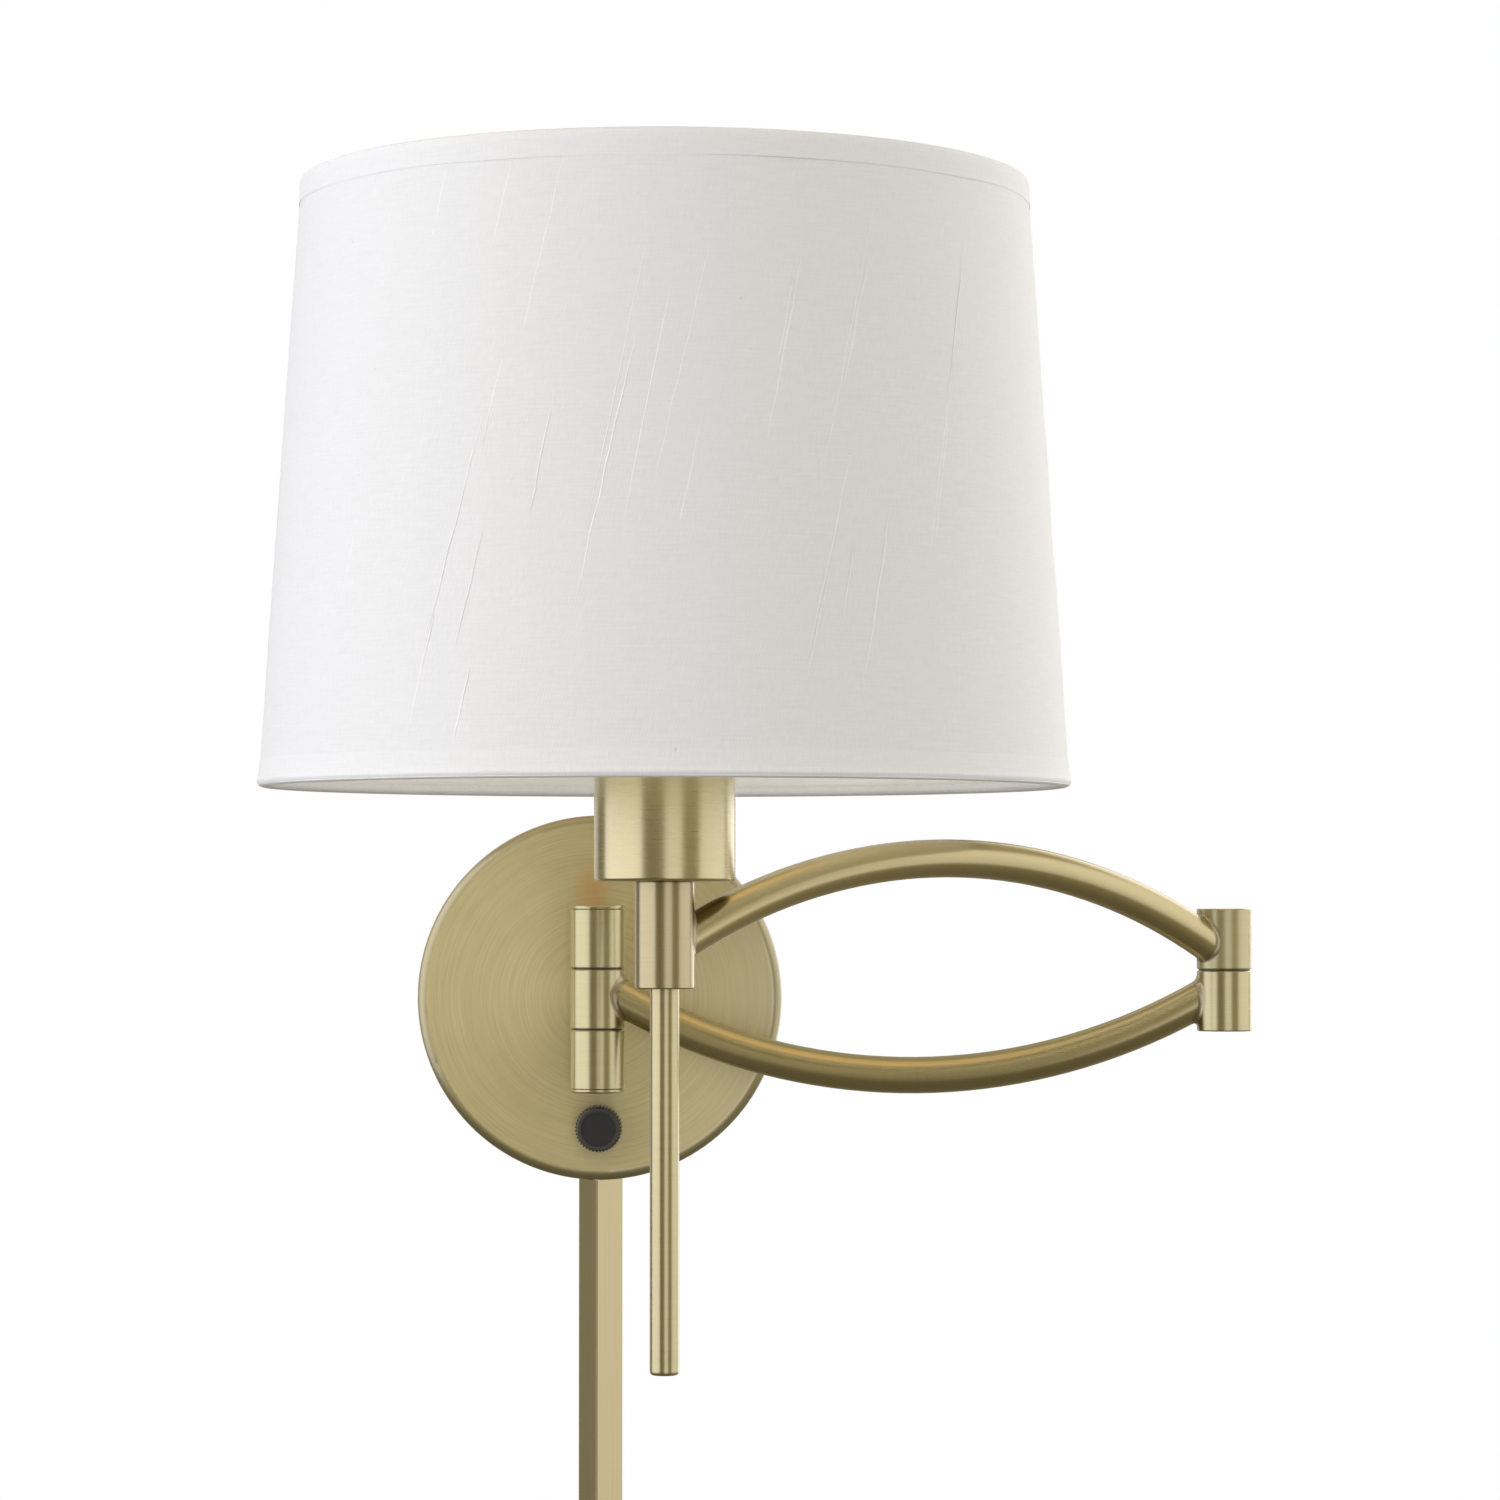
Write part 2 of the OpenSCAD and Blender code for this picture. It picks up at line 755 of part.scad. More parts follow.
module socket_nipple() {
    start = holder_mid + side_hole_r + 1;
    color("goldenrod") at_holder() translate([0, 0, start])
        ring(pin_r, pin_bore_r, socket_z + 4 - start);
}

module socket_cup() {
    color("darkkhaki") at_holder() difference() {
        translate([0, 0, cup_z + cup_h]) mirror([0, 0, 1])
            spun_cup(cup_d / 2, cup_h, cup_wall, cup_edge_r);
        translate([0, 0, cup_z - 1]) cylinder(r = pin_r, h = 4);
    }
}

module cup_nut() {
    color("goldenrod") at_holder() translate([0, 0, cup_z + cup_wall]) hex_nut(8, pin_r, nut_h);
}

module socket_body() {
    chamber_z = 4;
    chamber_h = 16;
    chamber_r = 9;
    color("ivory") at_holder() difference() {
        union() {
            translate([0, 0, socket_z]) bevelled(socket_r, socket_h, 0.6);
            translate([0, 0, flange_z]) cylinder(r = flange_r, h = flange_h);
        }
        translate([0, 0, socket_z - 1]) cylinder(r = pin_r, h = chamber_z + 2);
        translate([0, 0, socket_z + chamber_z]) cylinder(r = chamber_r, h = chamber_h);
        translate([0, 0, screw_shell_z - 1])
            cylinder(r = screw_shell_in_r + screw_shell_t, h = socket_h);
        for (side = [-1, 1]) translate([side * (socket_r - terminal_deep), 0, terminal_z])
            rotate([0, side * 90, 0]) cylinder(r = terminal_r + 0.2, h = 4);
    }
}

module socket_screw_shell() {
    color("goldenrod") at_holder() translate([0, 0, screw_shell_z])
        ring(screw_shell_in_r + screw_shell_t, screw_shell_in_r, screw_shell_h);
}

module socket_contact() {
    color("goldenrod") at_holder() translate([0, 0, screw_shell_z - 1]) {
        cylinder(r = 4, h = 0.4);
        cylinder(r1 = 3, r2 = 2, h = 0.9);
    }
}

module terminal_screws() {
    color("goldenrod") at_holder() for (side = [-1, 1])
        translate([side * (socket_r - terminal_deep), 0, terminal_z])
            rotate([0, side * 90, 0]) difference() {
                cylinder(r = terminal_r, h = 2);
                translate([-5, -slot_w / 2, 1]) cube([10, slot_w, 2]);
            }
}

module shade_ring() {
    notch_count = 24;
    color("ivory") at_holder() translate([0, 0, fitter_z + fitter_t])
        linear_extrude(height = shade_ring_h) difference() {
            circle(r = flange_r);
            circle(r = socket_r);
            for (i = [0 : notch_count - 1]) rotate(i * 360 / notch_count)
                translate([flange_r, 0]) circle(r = 0.6, $fn = 16);
        }
}

// ---- Shade ----

// Fabric radius at a height above the shade's lower rim
function shade_r(h) = bottom_r + (top_r - bottom_r) * h / shade_h;

// A cone shell that follows the fabric, its outside a given depth below the fabric's face
module shade_shell(depth, t, low, high) {
    rotate_extrude($fn = 180) polygon([
        [shade_r(low) - depth, low], [shade_r(high) - depth, high],
        [shade_r(high) - depth - t, high], [shade_r(low) - depth - t, low]
    ]);
}

module at_shade() {
    at_holder() translate([0, 0, shade_z]) children();
}

// Ring that sits on the socket
module shade_fitter() {
    color("silver") at_holder() translate([0, 0, fitter_z]) ring(fitter_r, socket_r + 0.2, fitter_t);
}

// Wires from the fitter's ring down to the shade's lower rim
module shade_spokes() {
    start_z = fitter_z + fitter_t / 2;
    run = bottom_wire_r - fitter_r + 1;
    drop = start_z - bottom_wire_z - rim_wire_r - spoke_r;
    color("silver") at_holder() difference() {
        for (i = [0 : spoke_count - 1]) rotate([0, 0, 90 + i * 360 / spoke_count])
            translate([fitter_r - 1, 0, start_z]) rotate([0, 90 + atan(drop / run), 0])
                cylinder(r = spoke_r, h = sqrt(run * run + drop * drop), $fn = 24);
        translate([0, 0, start_z - 3 * spoke_r]) cylinder(r = fitter_r, h = 6 * spoke_r);
    }
}

module rim_wire(r, z) {
    translate([0, 0, z]) rotate_extrude($fn = 180) translate([r, 0]) circle(r = rim_wire_r, $fn = 24);
}

module shade_bottom_wire() {
    color("white") at_holder() rim_wire(bottom_wire_r, bottom_wire_z);
}

module shade_top_wire() {
    color("white") at_holder() rim_wire(top_wire_r, top_wire_z);
}

module shade_liner() {
    color("white") at_shade() shade_shell(fabric_t, liner_t, hem_t, shade_h - hem_t);
}

module shade_fabric() {
    color("whitesmoke") at_shade() shade_shell(0, fabric_t, hem_t, shade_h - hem_t);
}

// Hem band: outside strip, fold under the rim, and short return inside the rim wire
module hem(edge, dir) {
    fold_w = hem_t + skin_t + 2 * rim_wire_r + 6 * rim_wire_gap + hem_t;
    fold_out = shade_r(edge) + hem_t;
    in_r = fold_out - fold_w;
    low = min(edge, edge + dir * hem_h);
    high = low + hem_h;
    rotate_extrude($fn = 180) {
        polygon([
            [shade_r(low), low], [shade_r(low) + hem_t, low],
            [shade_r(high) + hem_t, high], [shade_r(high), high]
        ]);
        translate([in_r, min(edge, edge + dir * hem_t)]) square([fold_w - 0.01, hem_t]);
        translate([in_r, min(edge, edge + dir * hem_in_h)]) square([hem_t, hem_in_h]);
    }
}

module shade_bottom_hem() {
    color("whitesmoke") at_shade() hem(0, 1);
}

module shade_top_hem() {
    color("whitesmoke") at_shade() hem(shade_h, -1);
}

backplate();
mounting_strap();
rim_screws();
ground_screw();
wall_yoke();
yoke_screws();
upper_wall_barrel();
lower_wall_barrel();
upper_barrel_cap();
lower_barrel_cap();
wall_hinge_pin();
wall_hinge_nuts();
wall_hinge_washers();
switch_body();
switch_nut();
switch_leads();
wire_connectors();
wall_wire();
cord_grommet();
cord_cover();
cord_cover_base();
switch_knob();
switch_shaft();
wall_hub();
lower_arm_tube();
elbow_lower_barrel();
elbow_lower_plug();
elbow_pin();
elbow_pin_nuts();
elbow_washer();
lower_arm_wire();
elbow_upper_barrel();
elbow_upper_plug();
upper_arm_tube();
upper_arm_wire();
holder_barrel();
stem();
stem_stud();
socket_nipple();
socket_cup();
cup_nut();
socket_body();
socket_screw_shell();
socket_contact();
terminal_screws();
shade_ring();
shade_fitter();
shade_spokes();
shade_bottom_wire();
shade_top_wire();
shade_liner();
shade_fabric();
shade_bottom_hem();
shade_top_hem();
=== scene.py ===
import json
import math
import random

import bmesh
import bpy
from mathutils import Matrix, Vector, noise


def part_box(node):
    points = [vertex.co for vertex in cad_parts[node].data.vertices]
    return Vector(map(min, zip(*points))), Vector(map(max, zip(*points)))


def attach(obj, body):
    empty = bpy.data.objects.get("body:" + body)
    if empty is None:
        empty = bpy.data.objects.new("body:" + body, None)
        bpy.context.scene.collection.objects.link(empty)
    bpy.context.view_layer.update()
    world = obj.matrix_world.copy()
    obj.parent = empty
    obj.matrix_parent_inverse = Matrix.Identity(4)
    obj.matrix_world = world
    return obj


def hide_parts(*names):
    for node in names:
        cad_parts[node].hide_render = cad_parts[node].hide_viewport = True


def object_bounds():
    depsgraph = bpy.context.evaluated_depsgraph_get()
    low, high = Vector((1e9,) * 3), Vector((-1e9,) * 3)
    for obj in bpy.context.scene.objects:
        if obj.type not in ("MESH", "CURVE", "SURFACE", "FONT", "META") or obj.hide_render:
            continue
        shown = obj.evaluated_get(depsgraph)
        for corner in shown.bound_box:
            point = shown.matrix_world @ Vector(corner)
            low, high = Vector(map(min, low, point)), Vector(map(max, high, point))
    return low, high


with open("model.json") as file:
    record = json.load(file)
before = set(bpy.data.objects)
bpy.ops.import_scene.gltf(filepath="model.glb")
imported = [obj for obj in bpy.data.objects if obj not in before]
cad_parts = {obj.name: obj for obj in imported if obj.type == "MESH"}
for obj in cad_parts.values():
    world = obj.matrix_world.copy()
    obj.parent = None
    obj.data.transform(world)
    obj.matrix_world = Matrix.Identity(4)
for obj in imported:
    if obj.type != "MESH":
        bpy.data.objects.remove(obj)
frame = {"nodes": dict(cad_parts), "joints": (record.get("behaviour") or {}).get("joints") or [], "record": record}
cad_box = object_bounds()

# ---- Places and sizes, in metres ----

MM = 0.001
JOINTS = {j["name"]: j for j in frame["joints"]}
MOUNTS = {m["name"]: m for m in frame["record"]["mounts"]}
WALL_AXIS = Vector(JOINTS["wall_swing"]["pos_m"])
ELBOW_AXIS = Vector(JOINTS["elbow_swing"]["pos_m"])
SOCKET_MOUTH = Vector(MOUNTS["bulb_socket"]["pos_m"])
HOLDER_AXIS = Vector((SOCKET_MOUTH.x, SOCKET_MOUTH.y, 0))
UP = Vector((0, 0, 1))

ARM_R = 6.35 * MM
FABRIC_T = 0.5 * MM
LINER_T = 0.4 * MM
HEM_T = 0.5 * MM
HEM_EDGE_T = 0.14 * MM
HEM_FOLD_W = 5.0 * MM
HEM_CORNER_R = 2.1 * MM
HEM_RETURN_H = 3.1 * MM
SEAM_TURN = math.radians(27)
SEAM_W = 11 * MM
SEAM_T = 0.5 * MM
THREAD_PITCH = 3.63 * MM
THREAD_DEPTH = 0.42 * MM
PLATE_EDGE_R = 3.6 * MM


def half_width(node):
    """Half of a node's width, which is the radius of a round upright one."""
    low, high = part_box(node)
    return (high.x - low.x) / 2


def middle(node):
    low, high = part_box(node)
    return (low + high) / 2


bottom_hem_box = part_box("shade_bottom_hem")
top_hem_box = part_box("shade_top_hem")
SHADE_LOW = bottom_hem_box[0].z
SHADE_HIGH = top_hem_box[1].z
HEM_H = bottom_hem_box[1].z - bottom_hem_box[0].z
SHADE_R_LOW = half_width("shade_bottom_hem") - HEM_T
SHADE_TAPER = (SHADE_R_LOW - half_width("shade_top_hem") + HEM_T) / (top_hem_box[0].z - SHADE_LOW)


def shade_r(z):
    """The fabric's outer radius at a height in the row frame."""
    return SHADE_R_LOW - SHADE_TAPER * (z - SHADE_LOW)


# ---- Mesh helpers ----

def link_mesh(name, points, faces, sharp_above=35):
    mesh = bpy.data.meshes.new(name)
    mesh.from_pydata([tuple(p) for p in points], [], faces)
    bm = bmesh.new()
    bm.from_mesh(mesh)
    bmesh.ops.recalc_face_normals(bm, faces=bm.faces)
    bm.to_mesh(mesh)
    bm.free()
    mesh.shade_smooth()
    mesh.set_sharp_from_angle(angle=math.radians(sharp_above))
    obj = bpy.data.objects.new(name, mesh)
    bpy.context.scene.collection.objects.link(obj)
    return obj


def loops_to_ring(loops):
    """Faces that join each closed loop to the next, and the last to the first."""
    n, m = len(loops), len(loops[0])
    points = [p for loop in loops for p in loop]
    faces = [
        (i * m + j, i * m + (j + 1) % m, (i + 1) % n * m + (j + 1) % m, (i + 1) % n * m + j)
        for i in range(n)
        for j in range(m)
    ]
    return points, faces


def loops_to_bar(loops):
    """Faces that join each closed loop to the next, with a cap on each end."""
    n, m = len(loops), len(loops[0])
    points = [p for loop in loops for p in loop]
    faces = [
        (i * m + j, i * m + (j + 1) % m, (i + 1) * m + (j + 1) % m, (i + 1) * m + j)
        for i in range(n - 1)
        for j in range(m)
    ]
    faces.append(tuple(range(m)))
    faces.append(tuple((n - 1) * m + j for j in range(m)))
    return points, faces


def around(angle, radius, z):
    """A point at an angle and radius from the shade's upright axis."""
    return Vector((HOLDER_AXIS.x + radius * math.cos(angle), HOLDER_AXIS.y + radius * math.sin(angle), z))


def wander(angle, z, size, waves=2.0, seed=0.0):
    """Smooth unevenness of a given size in metres that closes on itself round the shade."""
    return size * noise.noise(
        Vector((waves * math.cos(angle) + seed, waves * math.sin(angle), 12 * z))
    )


def lathe(name, profile_at, segments, sharp_above=35):
    """A closed ring whose section at each angle is a list of (radius, z)."""
    loops = []
    for i in range(segments):
        angle = 2 * math.pi * i / segments
        loops.append([around(angle, r, z) for r, z in profile_at(angle)])
    return link_mesh(name, *loops_to_ring(loops), sharp_above)


# ---- Materials ----

class Paint:
    """A material with short names for the nodes that this scene uses."""

    def __init__(self, name):
        self.material = bpy.data.materials.new(name)
        self.material.use_nodes = True
        self.nodes = self.material.node_tree.nodes
        self.links = self.material.node_tree.links
        self.shader = self.nodes["Principled BSDF"]

    def feed(self, socket, value):
        if isinstance(value, bpy.types.NodeSocket):
            self.links.new(value, socket)
        else:
            socket.default_value = value

    def add(self, kind, inputs, **settings):
        node = self.nodes.new(kind)
        for key, value in settings.items():
            setattr(node, key, value)
        for key, value in inputs.items():
            self.feed(node.inputs[key], value)
        return node

    def shade(self, **sockets):
        for key, value in sockets.items():
            self.feed(self.shader.inputs[key.replace("_", " ")], value)

    def place(self, centre=(0, 0, 0), turn=0.0):
        """The point on the surface, in a frame at centre that is turned about Z."""
        start = self.add("ShaderNodeTexCoord", {}).outputs["Object"]
        moved = self.add(
            "ShaderNodeMapping",
            {"Vector": start, "Location": centre, "Rotation": (0, 0, turn)},
            vector_type="TEXTURE",
        )
        return moved.outputs["Vector"]

    def scaled(self, vector, scale):
        return self.add("ShaderNodeMapping", {"Vector": vector, "Scale": scale}).outputs["Vector"]

    def split(self, vector):
        return self.add("ShaderNodeSeparateXYZ", {"Vector": vector}).outputs

    def join(self, x, y, z):
        return self.add("ShaderNodeCombineXYZ", {"X": x, "Y": y, "Z": z}).outputs["Vector"]

    def math(self, operation, a, b=0.0):
        return self.add("ShaderNodeMath", {0: a, 1: b}, operation=operation).outputs[0]

    def times(self, a, b):
        return self.math("MULTIPLY", a, b)

    def length(self, vector):
        return self.add("ShaderNodeVectorMath", {0: vector}, operation="LENGTH").outputs["Value"]

    def noise(self, vector, scale=1.0, detail=2.0, rough=0.5):
        return self.add(
            "ShaderNodeTexNoise",
            {"Vector": vector, "Scale": scale, "Detail": detail, "Roughness": rough},
        ).outputs["Fac"]

    def blend(self, a, b, share_of_a):
        """A weighted sum of two values."""
        return self.math("ADD", self.times(a, share_of_a), self.times(b, 1.0 - share_of_a))

    def span(self, value, low, high, from_low=0.3, from_high=0.7):
        """The value mapped to low..high, by default from the range that a noise mostly fills."""
        return self.add(
            "ShaderNodeMapRange",
            {"Value": value, "From Min": from_low, "From Max": from_high, "To Min": low, "To Max": high},
        ).outputs["Result"]

    def mix(self, factor, a, b):
        node = self.add("ShaderNodeMix", {}, data_type="RGBA")
        self.feed(node.inputs["Factor"], factor)
        self.feed(node.inputs[6], a)
        self.feed(node.inputs[7], b)
        return node.outputs[2]

    def bump(self, height, distance, strength=1.0):
        node = self.add(
            "ShaderNodeBump", {"Height": height, "Distance": distance, "Strength": strength}
        )
        self.feed(self.shader.inputs["Normal"], node.outputs["Normal"])


def tone(colour, gain=1.0):
    return (colour[0] * gain, colour[1] * gain, colour[2] * gain, 1.0)


# One brass finish in several tints: each piece's tint is made lighter or darker to stand in for the light and
# shade that piece gets, so these are lit and shaded copies of one brass, painted light and shade.
BRASS = (0.425, 0.372, 0.168)
BRASS_ARM = (0.452, 0.376, 0.155)
BRASS_COVER = (0.43, 0.355, 0.14)
BRASS_CUP = (0.51, 0.44, 0.21)
BRASS_PINK = (0.385, 0.315, 0.14)
BRASS_PLATE = (0.705, 0.615, 0.3)
PAINTED_GLOW_ORANGE = (0.76, 0.4, 0.1)
BRAZE = (0.32, 0.26, 0.125)
PATINA = (0.34, 0.21, 0.10)
PATINA_SHARE = 0.1
# How dark painted shade makes the brass where it is painted in
SHADED_GAIN = 0.55
STREAK = 0.06
LACQUER_IOR = 1.8
LACQUER_ROUGHNESS = 0.22
# Size, place and strength of the painted orange reflection on the wall plate, above the hinge stack
GLOW_W = 8.0 * MM
GLOW_H = 13.0 * MM
GLOW_LEFT = 2.5 * MM
GLOW_UP = 5.0 * MM
GLOW_SHARE = 0.62
# How fast the brushed lines change across the brushing and along it, per metre
LINES = 2500
DRIFT = 45


def brushed_brass(
    name, lines, tint=BRASS, roughness=0.3, grain=0.5, contrast=1.0,
    ring_axis=None, grain_way=None, shaded=None, painted_glow=None,
):
    """Aged brass under lacquer. lines(paint) gives a vector that runs fast across the brushing.
    Brushed metal spreads its highlights across the brushing: along ring_axis on a turned piece, or
    along the direction that grain_way(paint) gives. shaded(paint) is 1 where painted shade darkens the
    brass most, and the glow argument gives the share of a painted orange reflection."""
    paint = Paint(name)
    across = lines(paint)
    fine = paint.noise(across, detail=3.0, rough=0.6)
    broad = paint.noise(across, scale=0.25)
    cloud = paint.noise(paint.place(), scale=38.0, detail=3.0, rough=0.6)
    streak = paint.blend(fine, broad, 0.8)
    swing = STREAK * contrast
    bright = paint.mix(paint.span(streak, 0.0, 1.0), tone(tint, 1 - swing), tone(tint, 1 + swing))
    # Painted shade and a painted orange reflection are mixed into the brass colour here; the patina below is the
    # brass's own
    if shaded:
        bright = paint.mix(shaded(paint), bright, tone(tint, SHADED_GAIN))
    if painted_glow:
        bright = paint.mix(painted_glow(paint), bright, tone(PAINTED_GLOW_ORANGE))
    patina_and_painted_light = paint.mix(paint.span(cloud, 0.0, PATINA_SHARE, 0.45, 0.8), bright, tone(PATINA))
    paint.shade(
        Base_Color=patina_and_painted_light,
        Metallic=1.0,
        Roughness=paint.span(streak, roughness - 0.015, roughness + 0.02),
        Coat_Weight=1.0,
        Coat_IOR=LACQUER_IOR,
        Coat_Roughness=LACQUER_ROUGHNESS,
    )
    if ring_axis:
        tangent = paint.add("ShaderNodeTangent", {}, direction_type="RADIAL", axis=ring_axis)
        paint.shade(Anisotropic=grain, Anisotropic_Rotation=0.25, Tangent=tangent.outputs["Tangent"])
    if grain_way:
        paint.shade(Anisotropic=grain, Tangent=grain_way(paint))
    return paint.material


def turned_lines(paint):
    """Brushing round a vertical axis."""
    return paint.scaled(paint.place(), (DRIFT, DRIFT, LINES))


def plate_radius(paint):
    """Distance from the wall plate's centre line."""
    x, _, z = paint.split(paint.place())
    return paint.length(paint.join(x, 0.0, z))


def plate_painted_shade(paint):
    """Painted shade: 1 on the wall plate's rounded edge, and a slow rise to a half toward the plate's right, so
    the plate is painted darker there.
    """
    edge = half_width("backplate")
    rim = paint.span(plate_radius(paint), 0.0, 1.0, edge - PLATE_EDGE_R, edge - PLATE_EDGE_R * 2 / 3)
    x, _, _ = paint.split(paint.place())
    right = paint.span(x, 0.0, 0.5, 0.25 * edge, edge)
    return paint.math("MAXIMUM", rim, right)


def plate_painted_glow(paint):
    """A painted orange reflection: a soft spot just above the hinge stack. It colours both faces of the wall
    plate.
    """
    x, _, z = paint.split(paint.place())
    stack_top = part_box("upper_barrel_cap")[1].z
    across = paint.math("DIVIDE", paint.math("SUBTRACT", x, WALL_AXIS.x - GLOW_LEFT), GLOW_W)
    up = paint.math("DIVIDE", paint.math("SUBTRACT", z, stack_top + GLOW_UP), GLOW_H)
    far = paint.length(paint.join(across, 0.0, up))
    return paint.span(far, GLOW_SHARE, 0.0, 0.15, 1.0)


def spun_lines(paint):
    """Brushing in circles round the wall plate's centre."""
    x, _, z = paint.split(paint.place())
    return paint.join(
        paint.times(plate_radius(paint), LINES),
        paint.times(x, DRIFT),
        paint.times(z, DRIFT),
    )


def drawn_lines(paint):
    """Brushing along a vertical length."""
    return paint.scaled(paint.place(), (LINES, LINES, DRIFT / 3))


def arm_lines(arm):
    """Brushing round a bowed tube, so that the lines cross its length."""

    def lines(paint):
        x, y, z = paint.split(paint.place(arm.arc_centre(), arm.heading))
        angle = paint.math("ARCTAN2", x, paint.times(z, arm.side))
        return paint.join(
            paint.times(angle, arm.arc_r * LINES),
            paint.times(y, DRIFT),
            paint.times(z, DRIFT),
        )

    return lines


def arm_grain(arm):
    """The direction along a bowed tube, which is square to the line from the arc's centre."""

    def way(paint):
        x, _, z = paint.split(paint.place(arm.arc_centre(), arm.heading))
        along = paint.join(
            paint.times(z, arm.along.x),
            paint.times(z, arm.along.y),
            paint.times(x, -1.0),
        )
        unit = paint.add("ShaderNodeVectorMath", {0: along}, operation="NORMALIZE").outputs["Vector"]
        world = paint.add(
            "ShaderNodeVectorTransform", {"Vector": unit},
            vector_type="VECTOR", convert_from="OBJECT", convert_to="WORLD",
        )
        return world.outputs["Vector"]

    return way


def machined_brass(name):
    """Bright brass with fine tool rings round an upright axis."""
    paint = Paint(name)
    rings = paint.noise(paint.scaled(paint.place(), (60, 60, 3500)))
    paint.shade(
        Base_Color=paint.mix(paint.span(rings, 0, 1), tone((0.62, 0.46, 0.2)), tone((0.78, 0.6, 0.3))),
        Metallic=1.0,
        Roughness=paint.span(rings, 0.22, 0.36),
    )
    paint.bump(rings, 0.03 * MM, strength=0.4)
    return paint.material


def zinc_steel(name):
    """Zinc plate: soft grey with crystal-shaped patches."""
    paint = Paint(name)
    spangle = paint.add("ShaderNodeTexVoronoi", {"Vector": paint.place(), "Scale": 420.0})
    patch = paint.add("ShaderNodeRGBToBW", {"Color": spangle.outputs["Color"]}).outputs["Val"]
    scuff = paint.noise(paint.place(), scale=900.0, detail=4.0, rough=0.6)
    paint.shade(
        Base_Color=paint.mix(patch, tone((0.46, 0.47, 0.48)), tone((0.68, 0.69, 0.7))),
        Metallic=1.0,
        Roughness=paint.span(scuff, 0.3, 0.5),
    )
    paint.bump(scuff, 0.02 * MM, strength=0.4)
    return paint.material


def moulded(name, colour, roughness=0.5, grain=2600.0, depth=0.02, coat=0.0):
    """Moulded plastic or enamel with a fine grain and slight cloudiness."""
    paint = Paint(name)
    speck = paint.noise(paint.place(), scale=grain, detail=3.0, rough=0.6)
    cloud = paint.noise(paint.place(), scale=90.0)
    both = paint.blend(speck, cloud, 0.5)
    paint.shade(
        Base_Color=paint.mix(paint.span(both, 0, 1), tone(colour, 0.86), tone(colour, 1.1)),
        Roughness=paint.span(speck, roughness - 0.06, roughness + 0.08),
        Coat_Weight=coat,
        Coat_Roughness=0.15,
    )
    paint.bump(speck, depth * MM, strength=0.5)
    return paint.material


KNOB_BLACK = (0.009, 0.0088, 0.0083)
KNOB_GREY = (0.02, 0.0195, 0.0185)
# Painted highlight: the knob's raised rim is painted this lighter colour
KNOB_RIM_HIGHLIGHT = (0.045, 0.0435, 0.041)


def knob_plastic(name):
    """Matte black plastic whose face has faint turned rings. The raised rim is painted lighter, a painted
    highlight.
    """
    paint = Paint(name)
    x, _, z = paint.split(paint.place(tuple(middle("switch_knob"))))
    radius = paint.length(paint.join(x, 0.0, z))
    rings = paint.noise(paint.join(paint.times(radius, 3800.0), 0.0, 0.0), detail=1.0)
    speck = paint.noise(paint.place(), scale=5200.0, detail=3.0, rough=0.7)
    both = paint.blend(rings, speck, 0.4)
    black = paint.mix(paint.span(both, 0, 1), tone(KNOB_BLACK), tone(KNOB_GREY))
    edge = half_width("switch_knob")
    # Painted highlight: a lighter ring at the raised rim
    rim = paint.span(radius, 0.0, 1.0, 0.73 * edge, 0.78 * edge)
    paint.shade(
        Base_Color=paint.mix(rim, black, tone(KNOB_RIM_HIGHLIGHT)),
        Roughness=paint.span(both, 0.3, 0.42),
    )
    paint.bump(both, 0.03 * MM, strength=0.5)
    return paint.material


WARP_PITCH = 0.95 * MM
WEFT_PITCH = 2.1 * MM
LINEN_DARK = (0.79, 0.8, 0.802)
LINEN_LIGHT = (0.868, 0.88, 0.882)
LINEN_CLOUD = (0.818, 0.83, 0.832)
LINT = (0.45, 0.43, 0.38)
LINEN_SLANT = 13.0
# How fast the yarns' unevenness changes round the shade and up it, per metre
WARP_RATES = (1900.0, 240.0)
WEFT_RATES = (90.0, 1500.0)


def shade_point(paint):
    """(arc length round the shade, height) on the fabric, in metres."""
    x, y, z = paint.split(paint.place(tuple(HOLDER_AXIS)))
    turn = paint.math("ARCTAN2", x, paint.times(y, -1.0))
    return paint.times(turn, shade_r((SHADE_LOW + SHADE_HIGH) / 2)), z


def linen(name, gain=1.0, slant=LINEN_SLANT, relief=1.0):
    """Off-white fabric: a fine weave of short upright dashes whose warp leans by slant degrees."""
    paint = Paint(name)
    u, z = shade_point(paint)
    lean = math.tan(math.radians(slant))
    warp_u = paint.math("SUBTRACT", u, paint.times(z, lean))
    warp_at = paint.join(paint.times(warp_u, WARP_RATES[0]), paint.times(z, WARP_RATES[1]), 0.0)
    weft_at = paint.join(paint.times(u, WEFT_RATES[0]), paint.times(z, WEFT_RATES[1]), 3.0)
    warp = paint.noise(warp_at, rough=0.6)
    weft = paint.noise(weft_at, rough=0.6)
    dash_x = paint.math("SINE", paint.times(warp_u, 2 * math.pi / WARP_PITCH))
    dash_z = paint.math("SINE", paint.times(z, 2 * math.pi / WEFT_PITCH))
    dashes = paint.times(dash_x, dash_z)
    yarns = paint.blend(warp, weft, 0.55)
    cloth = paint.math("ADD", yarns, paint.times(dashes, 0.09))
    cloud = paint.noise(paint.place(), scale=16.0)
    lint = paint.noise(paint.place(), scale=520.0, detail=0.0)
    thread = paint.mix(paint.span(cloth, 0, 1), tone(LINEN_DARK, gain), tone(LINEN_LIGHT, gain))
    soft = paint.mix(paint.span(cloud, 0.0, 0.3), thread, tone(LINEN_CLOUD, gain))
    specked = paint.mix(paint.span(lint, 0.0, 0.25, 0.88, 0.93), soft, tone(LINT))
    paint.shade(
        Base_Color=specked,
        Roughness=paint.span(cloth, 0.82, 0.95),
        Sheen_Weight=0.15,
        Sheen_Roughness=0.5,
        Specular_IOR_Level=0.2,
    )
    paint.bump(cloth, 0.09 * MM * relief, strength=0.7)
    return paint.material


